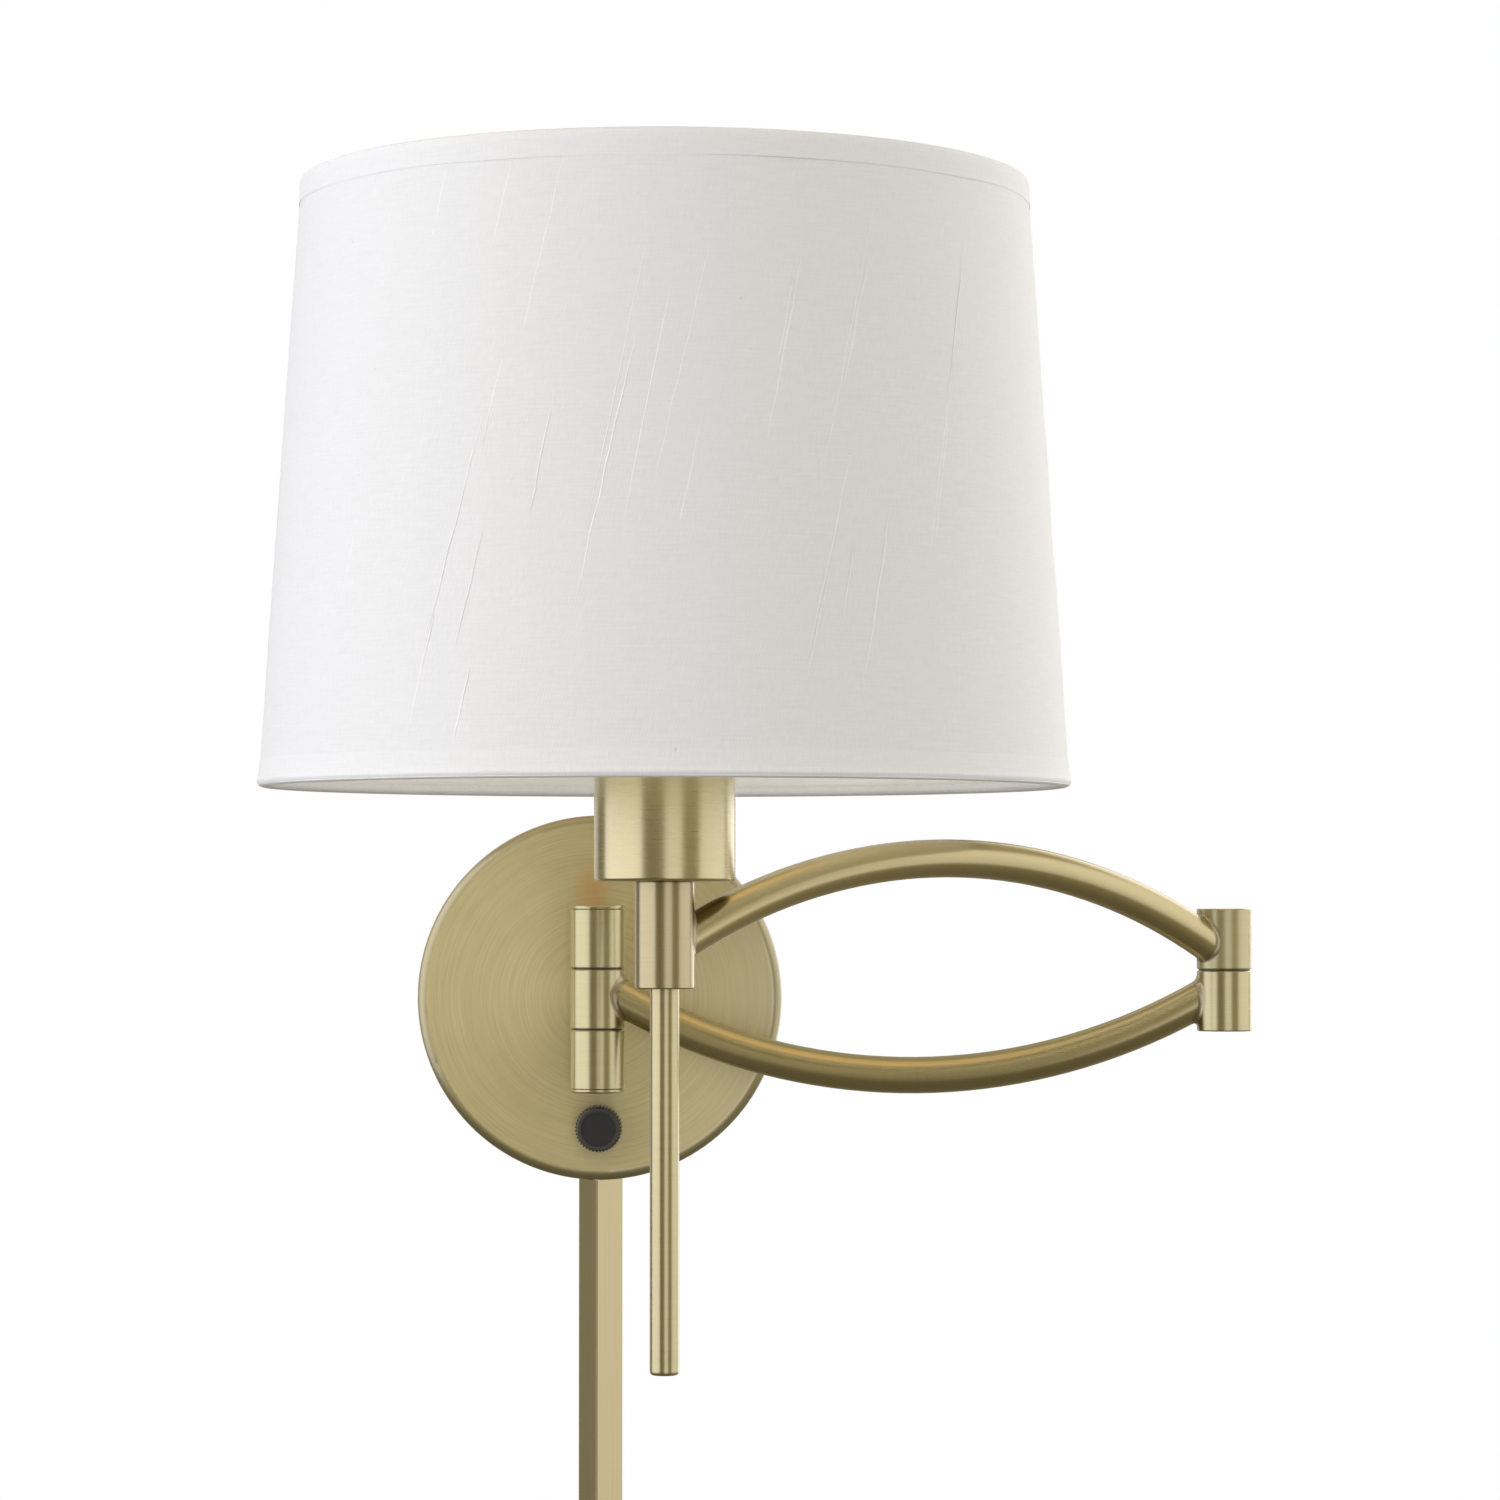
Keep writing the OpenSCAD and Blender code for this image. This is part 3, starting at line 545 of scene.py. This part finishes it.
def liner_film(name):
    """Warm white styrene film with a fine paper-like tooth."""
    paint = Paint(name)
    tooth = paint.noise(paint.place(), scale=1500.0, detail=4.0, rough=0.65)
    cloud = paint.noise(paint.place(), scale=20.0)
    base = paint.mix(paint.span(cloud, 0, 1), tone((0.88, 0.865, 0.835)), tone((0.92, 0.91, 0.885)))
    paint.shade(
        Base_Color=paint.mix(paint.span(tooth, 0, 0.5), base, tone((0.84, 0.82, 0.785))),
        Roughness=paint.span(tooth, 0.5, 0.65),
    )
    paint.bump(tooth, 0.02 * MM, strength=0.5)
    return paint.material


# ---- Arms ----

class Arm:
    """The centre line of a bowed tube between two barrels: one arc in an upright plane."""

    def __init__(self, start, end, start_z, end_z, barrel_r, bow, side):
        flat = Vector((end.x - start.x, end.y - start.y, 0))
        self.start = Vector((start.x, start.y, start_z))
        self.along = flat.normalized()
        self.heading = math.atan2(flat.y, flat.x)
        self.reach = flat.length
        self.barrel_r = barrel_r
        self.side = side
        span = self.reach - 2 * barrel_r
        self.tilt = math.atan2(end_z - start_z, span)
        self.bow = bow
        self.arc_r = (span * span / 4 + bow * bow) / (2 * bow)

    def lift(self, x, z):
        """A point of the untilted arc's plane, in the row frame."""
        run = x - self.barrel_r
        turned_x = self.barrel_r + run * math.cos(self.tilt) - z * math.sin(self.tilt)
        turned_z = run * math.sin(self.tilt) + z * math.cos(self.tilt)
        return self.start + self.along * turned_x + UP * turned_z

    def arc_centre(self):
        return tuple(self.lift(self.reach / 2, -self.side * (self.arc_r - self.bow)))

    def point(self, x):
        rise = math.sqrt(self.arc_r**2 - (x - self.reach / 2) ** 2) - (self.arc_r - self.bow)
        return self.lift(x, self.side * rise)

    def tangent(self, x):
        return (self.point(x + 0.1 * MM) - self.point(x - 0.1 * MM)).normalized()

    def skin(self, x, angle):
        """A point on the tube's surface."""
        ahead = self.tangent(x)
        level = UP.cross(self.along).normalized()
        upright = ahead.cross(level).normalized()
        return self.point(x) + ARM_R * (math.cos(angle) * level + math.sin(angle) * upright)


BARREL_R = half_width("wall_hub")
HOLDER_R = half_width("holder_barrel")
ARM_BOW = middle("wall_hub").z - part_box("lower_arm_tube")[0].z - ARM_R
LOWER_ARM = Arm(
    WALL_AXIS, ELBOW_AXIS, middle("wall_hub").z, middle("elbow_lower_barrel").z, BARREL_R, ARM_BOW, -1
)
UPPER_ARM = Arm(
    ELBOW_AXIS, HOLDER_AXIS, middle("elbow_upper_barrel").z, middle("holder_barrel").z, BARREL_R, ARM_BOW, 1
)
FILLET_STEPS = 7
FILLET_TURNS = 72
FILLET_SEARCH = 8 * MM
FILLET_HALVINGS = 40
# The fillet's unevenness, how much farther it runs along the tube than along the barrel, and how
# nearly its curve touches the corner
FILLET_UNEVEN = 0.22
FILLET_ALONG = 1.15
FILLET_HOLLOW = 0.12


def clear_of_barrel(point, axis, barrel_r):
    """How far a point is outside a barrel."""
    return math.hypot(point.x - axis.x, point.y - axis.y) - barrel_r


def meeting(arm, angle, axis, barrel_r, face, toward):
    """How far along the arm its skin, at an angle round the tube, comes out of the barrel."""
    inside, outside = face - toward * FILLET_SEARCH, face + toward * FILLET_SEARCH
    for _ in range(FILLET_HALVINGS):
        guess = (inside + outside) / 2
        if clear_of_barrel(arm.skin(guess, angle), axis, barrel_r) < 0:
            inside = guess
        else:
            outside = guess
    return (inside + outside) / 2


def fillet_section(arm, angle, axis, barrel_r, face, toward, width):
    """The fillet's section at one angle: a hollow curve from tube to barrel, and a buried corner."""
    x = meeting(arm, angle, axis, barrel_r, face, toward)
    corner = arm.skin(x, angle)
    lumps = noise.noise(Vector((1.7 * math.cos(angle), 1.7 * math.sin(angle), face * 40)))
    uneven = width * (1 + FILLET_UNEVEN * lumps)
    tube_foot = arm.skin(x + toward * uneven * FILLET_ALONG, angle)
    away = (corner - arm.point(x)).normalized()
    normal = Vector((corner.x - axis.x, corner.y - axis.y, 0)).normalized()
    slide = (away - normal * away.dot(normal)).normalized()
    foot = corner + slide * uneven
    flat = Vector((foot.x - axis.x, foot.y - axis.y, 0)).normalized() * (barrel_r + 0.01 * MM)
    barrel_foot = Vector((axis.x + flat.x, axis.y + flat.y, foot.z))
    pull = corner + FILLET_HOLLOW * (tube_foot - corner)
    section = []
    for step in range(FILLET_STEPS + 1):
        t = step / FILLET_STEPS
        section.append((1 - t) ** 2 * tube_foot + 2 * t * (1 - t) * pull + t * t * barrel_foot)
    section.append(corner - 0.5 * MM * (away + normal))
    return section


def braze(name, arm, axis, barrel_r, from_end, body, width, material):
    """A hollow fillet of brazing round a tube where it meets a barrel."""
    toward = -1 if from_end else 1
    face = arm.reach - barrel_r if from_end else barrel_r
    loops = []
    for k in range(FILLET_TURNS):
        angle = 2 * math.pi * k / FILLET_TURNS
        loops.append(fillet_section(arm, angle, axis, barrel_r, face, toward, width))
    piece = link_mesh(name, *loops_to_ring(loops), sharp_above=60)
    piece.data.materials.append(material)
    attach(piece, body)


def make_brazing(material):
    """A fillet on both ends of both arms. The last number is how far it runs up the barrel."""
    for name, arm, axis, barrel_r, from_end, body, width in (
        ("braze_wall_hub", LOWER_ARM, WALL_AXIS, BARREL_R, False, "lower_arm", 1.5 * MM),
        ("braze_elbow_lower", LOWER_ARM, ELBOW_AXIS, BARREL_R, True, "lower_arm", 1.5 * MM),
        ("braze_elbow_upper", UPPER_ARM, ELBOW_AXIS, BARREL_R, False, "upper_arm", 1.1 * MM),
        ("braze_holder", UPPER_ARM, HOLDER_AXIS, HOLDER_R, True, "upper_arm", 0.9 * MM),
    ):
        braze(name, arm, axis, barrel_r, from_end, body, width, material)


# ---- Shade ----

SHADE_SEGMENTS = 288
CLOTH_ROWS = 30
CLOTH_WAVE = 0.3 * MM


def cone_shell(name, depth, thickness):
    """A closed thin cone that follows the shade, its face a given depth under the fabric's face."""
    low, high = SHADE_LOW + HEM_T, SHADE_HIGH - HEM_T
    heights = [low + (high - low) * i / CLOTH_ROWS for i in range(CLOTH_ROWS + 1)]

    def section(angle):
        outer = [(shade_r(z) - depth + wander(angle, z, CLOTH_WAVE, waves=2.5), z) for z in heights]
        return outer + [(r - thickness, z) for r, z in reversed(outer)]

    return lathe(name, section, SHADE_SEGMENTS, sharp_above=60)


def rounded_fold(edge_z, into, angle):
    """Section of a hem band: a strip up the outside, a rounded fold round the rim wire, and a short
    return inside. into is 1 for the lower rim and -1 for the upper."""
    seed = 4.0 + into
    band_h = HEM_H + wander(angle, edge_z, 0.35 * MM, waves=3.0, seed=seed)
    outer_x = HEM_T + wander(angle, edge_z, 0.1 * MM, waves=4.0, seed=seed + 2)
    inner_x = outer_x - HEM_FOLD_W
    corner = HEM_CORNER_R

    def cone_x(h):
        return -SHADE_TAPER * into * h

    def thinned(h):
        return (HEM_T - HEM_EDGE_T) * min(1.0, h / band_h)

    def turn(centre_x, centre_h, radius, start, end, steps):
        angles = [math.radians(start + (end - start) * i / steps) for i in range(steps + 1)]
        return [(centre_x + radius * math.cos(a), centre_h + radius * math.sin(a)) for a in angles]

    band_rows = 6
    outside = [
        (outer_x + cone_x(h) - thinned(h) + wander(angle, h, 0.04 * MM, waves=5.0, seed=seed), h)
        for h in (band_h - (band_h - corner - 0.3 * MM) * i / band_rows for i in range(band_rows + 1))
    ]
    fold = turn(outer_x - corner, corner, corner, 0, -90, 6)
    fold += turn(inner_x + corner, corner, corner, -90, -180, 6)
    rise = [(inner_x, HEM_RETURN_H), (inner_x + HEM_T, HEM_RETURN_H)]
    inner_corner = corner - HEM_T
    back = turn(inner_x + corner, corner, inner_corner, -180, -90, 4)
    back += turn(outer_x - corner, corner, inner_corner, -90, 0, 4)
    close = [(cone_x(h) - 0.02 * MM, h) for h in (corner + 0.6 * MM, band_h / 2, band_h - 0.1 * MM)]
    outline = outside + fold + rise + back + close
    return [(shade_r(edge_z) + x, edge_z + into * h) for x, h in outline]


def hem(name, edge_z, into):
    return lathe(
        name, lambda angle: rounded_fold(edge_z, into, angle), SHADE_SEGMENTS, sharp_above=50
    )


def lap(name, angle_at, width, lift, thickness, low, high):
    """A straight overlap strip up the shade: a thin bar whose outer face stands lift off the fabric."""
    rows, columns = 24, 6
    loops = []
    for i in range(rows + 1):
        z = low + (high - low) * i / rows
        r = shade_r(z) + lift
        half = width / 2 / r
        spread = [-half + 2 * half * j / columns for j in range(columns + 1)]
        edge = 0.1 * MM * noise.noise(Vector((0, 0, 60 * z)))
        outer = [around(angle_at + s + edge / r, r, z) for s in spread]
        inner = [around(angle_at + s + edge / r, r - thickness, z) for s in reversed(spread)]
        loops.append(outer + inner)
    return link_mesh(name, *loops_to_bar(loops), sharp_above=40)


# Long slubs that show at the front: turn to the left of straight out in degrees, the top's height as
# a share of the shade's, and the length in millimetres
FRONT_SLUBS = (
    (33, 0.955, 66), (22, 0.955, 30), (14, 0.955, 58), (3, 0.68, 84), (-6, 0.54, 46),
    (32, 0.26, 42), (26, 0.17, 24), (-21, 0.8, 70), (-34, 0.42, 52), (44, 0.6, 90),
)
FRONT_SLUB_SLANT = math.radians(12.5)
FRONT_SLUB_W = 0.4 * MM
FRONT_SLUB_H = 0.11 * MM
# The ranges of the others: length, width and height in millimetres, and slant in degrees
OTHER_SLUBS = 60
SLUB_LENGTHS = (22, 110)
SLUB_SLANTS = (10.5, 15)
SLUB_WIDTHS = (0.22, 0.34)
SLUB_HEIGHTS = (0.03, 0.06)
SLUB_STEP = 3 * MM
SLUB_GAP = 3 * MM
SLUB_SEED = 21


def slub(top_angle, top_z, length, slant, width, height, seed):
    """One thick yarn that stands a little proud of the weave and thins at both ends. width is from
    its middle to its edge."""
    steps = max(8, int(length / SLUB_STEP))
    loops = []
    for i in range(steps + 1):
        t = i / steps
        z = top_z - length * math.cos(slant) * t
        r = shade_r(z)
        sway = 0.5 * MM * noise.noise(Vector((seed, 90 * t * length, 0)))
        swell = 0.8 + 0.5 * noise.noise(Vector((seed, 300 * t * length, 5)))
        fat = math.sqrt(max(0.02, math.sin(math.pi * t))) * swell
        at = top_angle - (length * math.sin(slant) * t + sway) / r
        loops.append([
            around(at - fat * width / r, r - 0.02 * MM, z),
            around(at - 0.5 * fat * width / r, r + 0.75 * fat * height, z),
            around(at, r + fat * height, z),
            around(at + 0.5 * fat * width / r, r + 0.75 * fat * height, z),
            around(at + fat * width / r, r - 0.02 * MM, z),
            around(at, r - 0.06 * MM, z),
        ])
    return loops


def slubs(name, count):
    """The front's long slubs, and more of every length all round the shade."""
    draw = random.Random(SLUB_SEED)
    bars = []
    for turn, top, length in FRONT_SLUBS:
        top_z = SHADE_LOW + top * (SHADE_HIGH - SHADE_LOW)
        angle = math.radians(-90 - turn)
        bars.append(slub(
            angle, top_z, length * MM, FRONT_SLUB_SLANT, FRONT_SLUB_W, FRONT_SLUB_H, turn
        ))
    for _ in range(count):
        length = draw.uniform(*SLUB_LENGTHS) * MM
        lowest, highest = SHADE_LOW + HEM_H + SLUB_GAP + length, SHADE_HIGH - HEM_H - SLUB_GAP
        bars.append(slub(
            draw.uniform(0, 2 * math.pi), draw.uniform(lowest, highest), length,
            math.radians(draw.uniform(*SLUB_SLANTS)), draw.uniform(*SLUB_WIDTHS) * MM,
            draw.uniform(*SLUB_HEIGHTS) * MM, draw.uniform(0, 50),
        ))
    points, faces = [], []
    for loops in bars:
        bar_points, bar_faces = loops_to_bar(loops)
        faces += [tuple(i + len(points) for i in face) for face in bar_faces]
        points += bar_points
    return link_mesh(name, points, faces, sharp_above=60)


def make_shade():
    cloth = cone_shell("shade_cloth", 0, FABRIC_T)
    film = cone_shell("shade_film", FABRIC_T, LINER_T)
    low_hem = hem("shade_hem_low", SHADE_LOW, 1)
    high_hem = hem("shade_hem_high", SHADE_HIGH, -1)
    yarns = slubs("shade_slubs", OTHER_SLUBS)
    seam = lap(
        "shade_seam", SEAM_TURN, SEAM_W, 0.9 * SEAM_T, SEAM_T,
        SHADE_LOW + HEM_H - 1 * MM, SHADE_HIGH - HEM_H + 1 * MM,
    )
    film_lap = lap(
        "shade_film_lap", SEAM_TURN, SEAM_W + 1 * MM, -FABRIC_T - LINER_T, LINER_T,
        SHADE_LOW + HEM_RETURN_H + LINER_T, SHADE_HIGH - HEM_RETURN_H - LINER_T,
    )
    weave = linen("linen_body")
    hem_weave = linen("linen_hem", gain=1.02, slant=0.0)
    slub_weave = linen("linen_slub", gain=1.11, relief=0.2)
    film_paint = liner_film("styrene_film")
    for piece, paint, slot in (
        (cloth, weave, "shade_linen"),
        (film, film_paint, "shade_liner"),
        (low_hem, hem_weave, "shade_linen"),
        (high_hem, hem_weave, "shade_linen"),
        (yarns, slub_weave, "shade_linen"),
        (seam, weave, "shade_linen"),
        (film_lap, film_paint, "shade_liner"),
    ):
        piece.data.materials.append(paint)
        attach(piece, "upper_arm")
    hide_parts("shade_fabric")
    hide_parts("shade_liner")
    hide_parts("shade_bottom_hem")
    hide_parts("shade_top_hem")


# ---- Lamp socket ----

def make_screw_shell():
    """The socket's brass shell with its rolled thread."""
    low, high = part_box("socket_screw_shell")
    outer_r = half_width("socket_screw_shell")
    inner_r = MOUNTS["bulb_socket"]["dims"]["r_mm"] * MM
    rows, turns = 84, 96

    def section(angle):
        inside = []
        for i in range(rows + 1):
            z = low.z + (high.z - low.z) * i / rows
            roll = 0.5 - 0.5 * math.cos(2 * math.pi * ((z - low.z) / THREAD_PITCH) - angle)
            inside.append((inner_r + THREAD_DEPTH * roll, z))
        return [(outer_r, low.z), *inside, (outer_r, high.z)]

    shell = lathe("screw_shell", section, turns, sharp_above=50)
    shell.data.materials.append(machined_brass("thread_brass"))
    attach(shell, "upper_arm")
    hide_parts("socket_screw_shell")


# ---- Metal and plastic of the carried-over nodes ----

def dress(node, material):
    mesh = frame["nodes"][node].data
    mesh.materials.clear()
    mesh.materials.append(material)


def turned_brass(name, tint=BRASS, roughness=0.3, grain=0.5, contrast=0.7):
    return brushed_brass(name, turned_lines, tint, roughness, grain, contrast, ring_axis="Z")


def arm_brass(name, arm):
    return brushed_brass(
        name, arm_lines(arm), BRASS_ARM, grain=0.4, contrast=0.4, grain_way=arm_grain(arm)
    )


def dress_nodes():
    """Put a material on every node that is carried over, and return the one for the brazing."""
    turned = turned_brass("brass_turned")
    pink = turned_brass("brass_turned_pink", BRASS_PINK)
    soft = turned_brass("brass_turned_soft", roughness=0.42, grain=0.3)
    cup = turned_brass("brass_cup", BRASS_CUP, roughness=0.28, contrast=0.6)
    # The wall plate gets painted shade on its rim and toward its right, and a painted orange reflection above the
    # hinge stack
    plate = brushed_brass(
        "brass_spun", spun_lines, BRASS_PLATE, roughness=0.46, contrast=1.8, ring_axis="Y",
        shaded=plate_painted_shade, painted_glow=plate_painted_glow,
    )
    drawn = brushed_brass("brass_drawn", drawn_lines, BRASS_COVER)
    lower = arm_brass("brass_lower_arm", LOWER_ARM)
    upper = arm_brass("brass_upper_arm", UPPER_ARM)
    braze_brass = brushed_brass("brass_braze", turned_lines, BRAZE, roughness=0.36)
    cast = brushed_brass("brass_bracket", turned_lines, tone(BRASS, 0.8)[:3], roughness=0.4)
    fitting = machined_brass("fitting_brass")
    zinc = zinc_steel("zinc_plate")
    black = moulded("black_plastic", (0.022, 0.021, 0.02))
    wire = moulded("black_wire", (0.02, 0.02, 0.02), roughness=0.38, grain=1500.0, depth=0.01)
    nylon = moulded("nylon", (0.035, 0.033, 0.03), roughness=0.45)
    enamel = moulded("white_enamel", (0.8, 0.8, 0.78), roughness=0.3, grain=900.0, depth=0.015, coat=0.3)
    green = moulded("ground_green", (0.03, 0.2, 0.06), roughness=0.35, grain=700.0, depth=0.01, coat=0.2)
    knob = knob_plastic("knob_black")
    orange = moulded("connector_orange", (0.62, 0.16, 0.02), roughness=0.4)
    glaze = moulded("socket_white", (0.78, 0.76, 0.7), roughness=0.28, grain=500.0, depth=0.01, coat=0.4)
    looks = {
        plate: ["backplate"],
        turned: [
            "upper_wall_barrel", "lower_wall_barrel", "upper_barrel_cap", "lower_barrel_cap", "wall_hub",
            "elbow_lower_barrel", "elbow_lower_plug", "stem", "rim_screws",
        ],
        pink: ["holder_barrel"],
        soft: ["elbow_upper_barrel", "elbow_upper_plug"],
        cup: ["socket_cup"],
        drawn: ["cord_cover"],
        lower: ["lower_arm_tube"],
        upper: ["upper_arm_tube"],
        cast: ["wall_yoke"],
        fitting: [
            "wall_hinge_pin", "wall_hinge_nuts", "switch_nut", "switch_shaft", "elbow_pin",
            "elbow_pin_nuts", "socket_nipple", "cup_nut", "socket_contact", "terminal_screws",
        ],
        zinc: ["mounting_strap", "yoke_screws", "cord_cover_base", "stem_stud"],
        green: ["ground_screw"],
        black: ["switch_body", "cord_grommet"],
        knob: ["switch_knob"],
        wire: ["switch_leads", "wall_wire", "lower_arm_wire", "upper_arm_wire"],
        nylon: ["wall_hinge_washers", "elbow_washer"],
        orange: ["wire_connectors"],
        glaze: ["socket_body", "shade_ring"],
        enamel: ["shade_fitter", "shade_spokes", "shade_bottom_wire", "shade_top_wire"],
    }
    for material, nodes in looks.items():
        for node in nodes:
            dress(node, material)
    return braze_brass


# ---- Studio ----

STUDIO_CENTRE = Vector((0.04, -0.12, 0.1))
COOL = (0.985, 1.0, 1.16)
SOFT_WARM = (0.99, 0.98, 0.9)
WARM = (1.0, 0.64, 0.32)
NEAR = 1.8
FAR = 2.1
ROOM_TINT = (1.0, 0.89, 0.63, 1)
ROOM_SLOPE = (0.4, 0, 0.7)
ROOM_SPREAD = 0.6
ROOM_DIM, ROOM_BRIGHT = 0.18, 0.48
FLOOR_HALF = 10.0
FLOOR_DROP = 2.0


def compass(azimuth, elevation):
    """Direction from the lamp. Azimuth 0 is out from the wall and 90 is to the right."""
    a, e = math.radians(azimuth), math.radians(elevation)
    return Vector((math.sin(a) * math.cos(e), -math.cos(a) * math.cos(e), math.sin(e)))


def softbox(name, azimuths, elevations, distance, radiance, colour=(1, 1, 1)):
    """A soft light that spans a range of azimuth and of elevation, seen from the lamp."""
    (left, right), (low, high) = azimuths, elevations
    light = bpy.data.lights.new(name, "AREA")
    light.shape = "RECTANGLE"
    light.size = 2 * distance * math.tan(math.radians(right - left) / 2)
    light.size_y = 2 * distance * math.tan(math.radians(high - low) / 2)
    light.energy = radiance * math.pi * light.size * light.size_y
    light.color = colour
    lamp = bpy.data.objects.new(name, light)
    bpy.context.scene.collection.objects.link(lamp)
    out = compass((left + right) / 2, (low + high) / 2)
    lamp.location = STUDIO_CENTRE + out * distance
    lamp.rotation_mode = "QUATERNION"
    lamp.rotation_quaternion = out.to_track_quat("Z", "Y")
    lamp.visible_camera = False
    return lamp


def make_shade_fill():
    """Stands in for the daylight that the fabric would let through to the inside of the shade."""
    light = bpy.data.lights.new("shade_fill", "POINT")
    light.energy = 0.15
    light.shadow_soft_size = 40 * MM
    light.color = (1.0, 0.985, 0.96)
    lamp = bpy.data.objects.new("shade_fill", light)
    bpy.context.scene.collection.objects.link(lamp)
    lamp.location = HOLDER_AXIS + UP * (SHADE_LOW + 0.55 * (SHADE_HIGH - SHADE_LOW))
    lamp.visible_camera = False
    lamp.visible_glossy = False
    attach(lamp, "upper_arm")


def make_studio():
    softbox("softbox_left", (-111, -34), (-26, 46), NEAR, 1.38, COOL)
    softbox("softbox_left_behind", (-166, -136), (-22, 48), NEAR, 0.4)
    softbox("strip_front", (0, 29), (-36, 45), FAR, 0.92, COOL)
    softbox("softbox_right", (57, 116), (-24, 40), NEAR, 0.92, COOL)
    softbox("softbox_right_behind", (122, 160), (-20, 40), NEAR, 1.2)
    # The top light shows only in reflections, and the two wraps never show in them
    softbox("softbox_top", (-32, 32), (60, 98), NEAR, 0.75, WARM).visible_diffuse = False
    softbox("wrap_left", (-75, -25), (-10, 40), NEAR, 0.7, SOFT_WARM).visible_glossy = False
    softbox("wrap_right", (105, 150), (-10, 40), NEAR, 1.3).visible_glossy = False
    make_shade_fill()
    make_room()


def make_room():
    """The camera sees white. The lamp sees a warm room, a little lighter to the right and above."""
    world = bpy.data.worlds.new("studio")
    bpy.context.scene.world = world
    world.use_nodes = True
    nodes, links = world.node_tree.nodes, world.node_tree.links
    way = nodes.new("ShaderNodeTexCoord")
    slope = nodes.new("ShaderNodeVectorMath")
    slope.operation = "DOT_PRODUCT"
    slope.inputs[1].default_value = ROOM_SLOPE
    level = nodes.new("ShaderNodeMapRange")
    level.inputs["From Min"].default_value = -ROOM_SPREAD
    level.inputs["From Max"].default_value = ROOM_SPREAD
    level.inputs["To Min"].default_value = ROOM_DIM
    level.inputs["To Max"].default_value = ROOM_BRIGHT
    fill = nodes["Background"]
    fill.inputs["Color"].default_value = ROOM_TINT
    links.new(way.outputs["Generated"], slope.inputs[0])
    links.new(slope.outputs["Value"], level.inputs["Value"])
    links.new(level.outputs["Result"], fill.inputs["Strength"])
    paper = nodes.new("ShaderNodeBackground")
    paper.inputs["Color"].default_value = (1, 1, 1, 1)
    paper.inputs["Strength"].default_value = 1.0
    seen = nodes.new("ShaderNodeLightPath")
    choose = nodes.new("ShaderNodeMixShader")
    links.new(seen.outputs["Is Camera Ray"], choose.inputs["Fac"])
    links.new(fill.outputs[0], choose.inputs[1])
    links.new(paper.outputs[0], choose.inputs[2])
    links.new(choose.outputs[0], nodes["World Output"].inputs["Surface"])


def make_floor():
    """A pale floor far below that only the camera sees. It doesn't light the lamp or show in it."""
    z = cad_box[0].z - FLOOR_DROP
    square = ((-1, -1), (1, -1), (1, 1), (-1, 1))
    corners = [(x * FLOOR_HALF, y * FLOOR_HALF, z) for x, y in square]
    floor = link_mesh("floor", corners, [(0, 1, 2, 3)])
    paint = Paint("pale_floor")
    tooth = paint.noise(paint.place(), scale=60.0, detail=3.0)
    pale = paint.mix(paint.span(tooth, 0, 1), tone((0.84, 0.85, 0.87)), tone((0.88, 0.89, 0.91)))
    paint.shade(Base_Color=pale, Roughness=0.7, Emission_Color=pale, Emission_Strength=0.5)
    floor.data.materials.append(paint.material)
    floor.visible_diffuse = False
    floor.visible_glossy = False


CAMERA_PLACE = (0.0537, -1.734, 0.0324)
CAMERA_PITCH = 1.87


def make_camera():
    """The camera stands a little above and to the right of the plate's centre, and looks up slightly."""
    camera = bpy.data.cameras.new("camera")
    camera.lens = 115.2
    camera.sensor_width = 36
    camera.clip_start, camera.clip_end = 0.05, 50
    eye = bpy.data.objects.new("camera", camera)
    bpy.context.scene.collection.objects.link(eye)
    eye.location = CAMERA_PLACE
    eye.rotation_euler = (math.radians(90 + CAMERA_PITCH), 0, 0)
    bpy.context.scene.camera = eye


make_camera()
make_studio()
make_floor()
braze_brass = dress_nodes()
make_shade()
make_screw_shell()
make_brazing(braze_brass)
bpy.context.scene.view_settings.view_transform = "Standard"
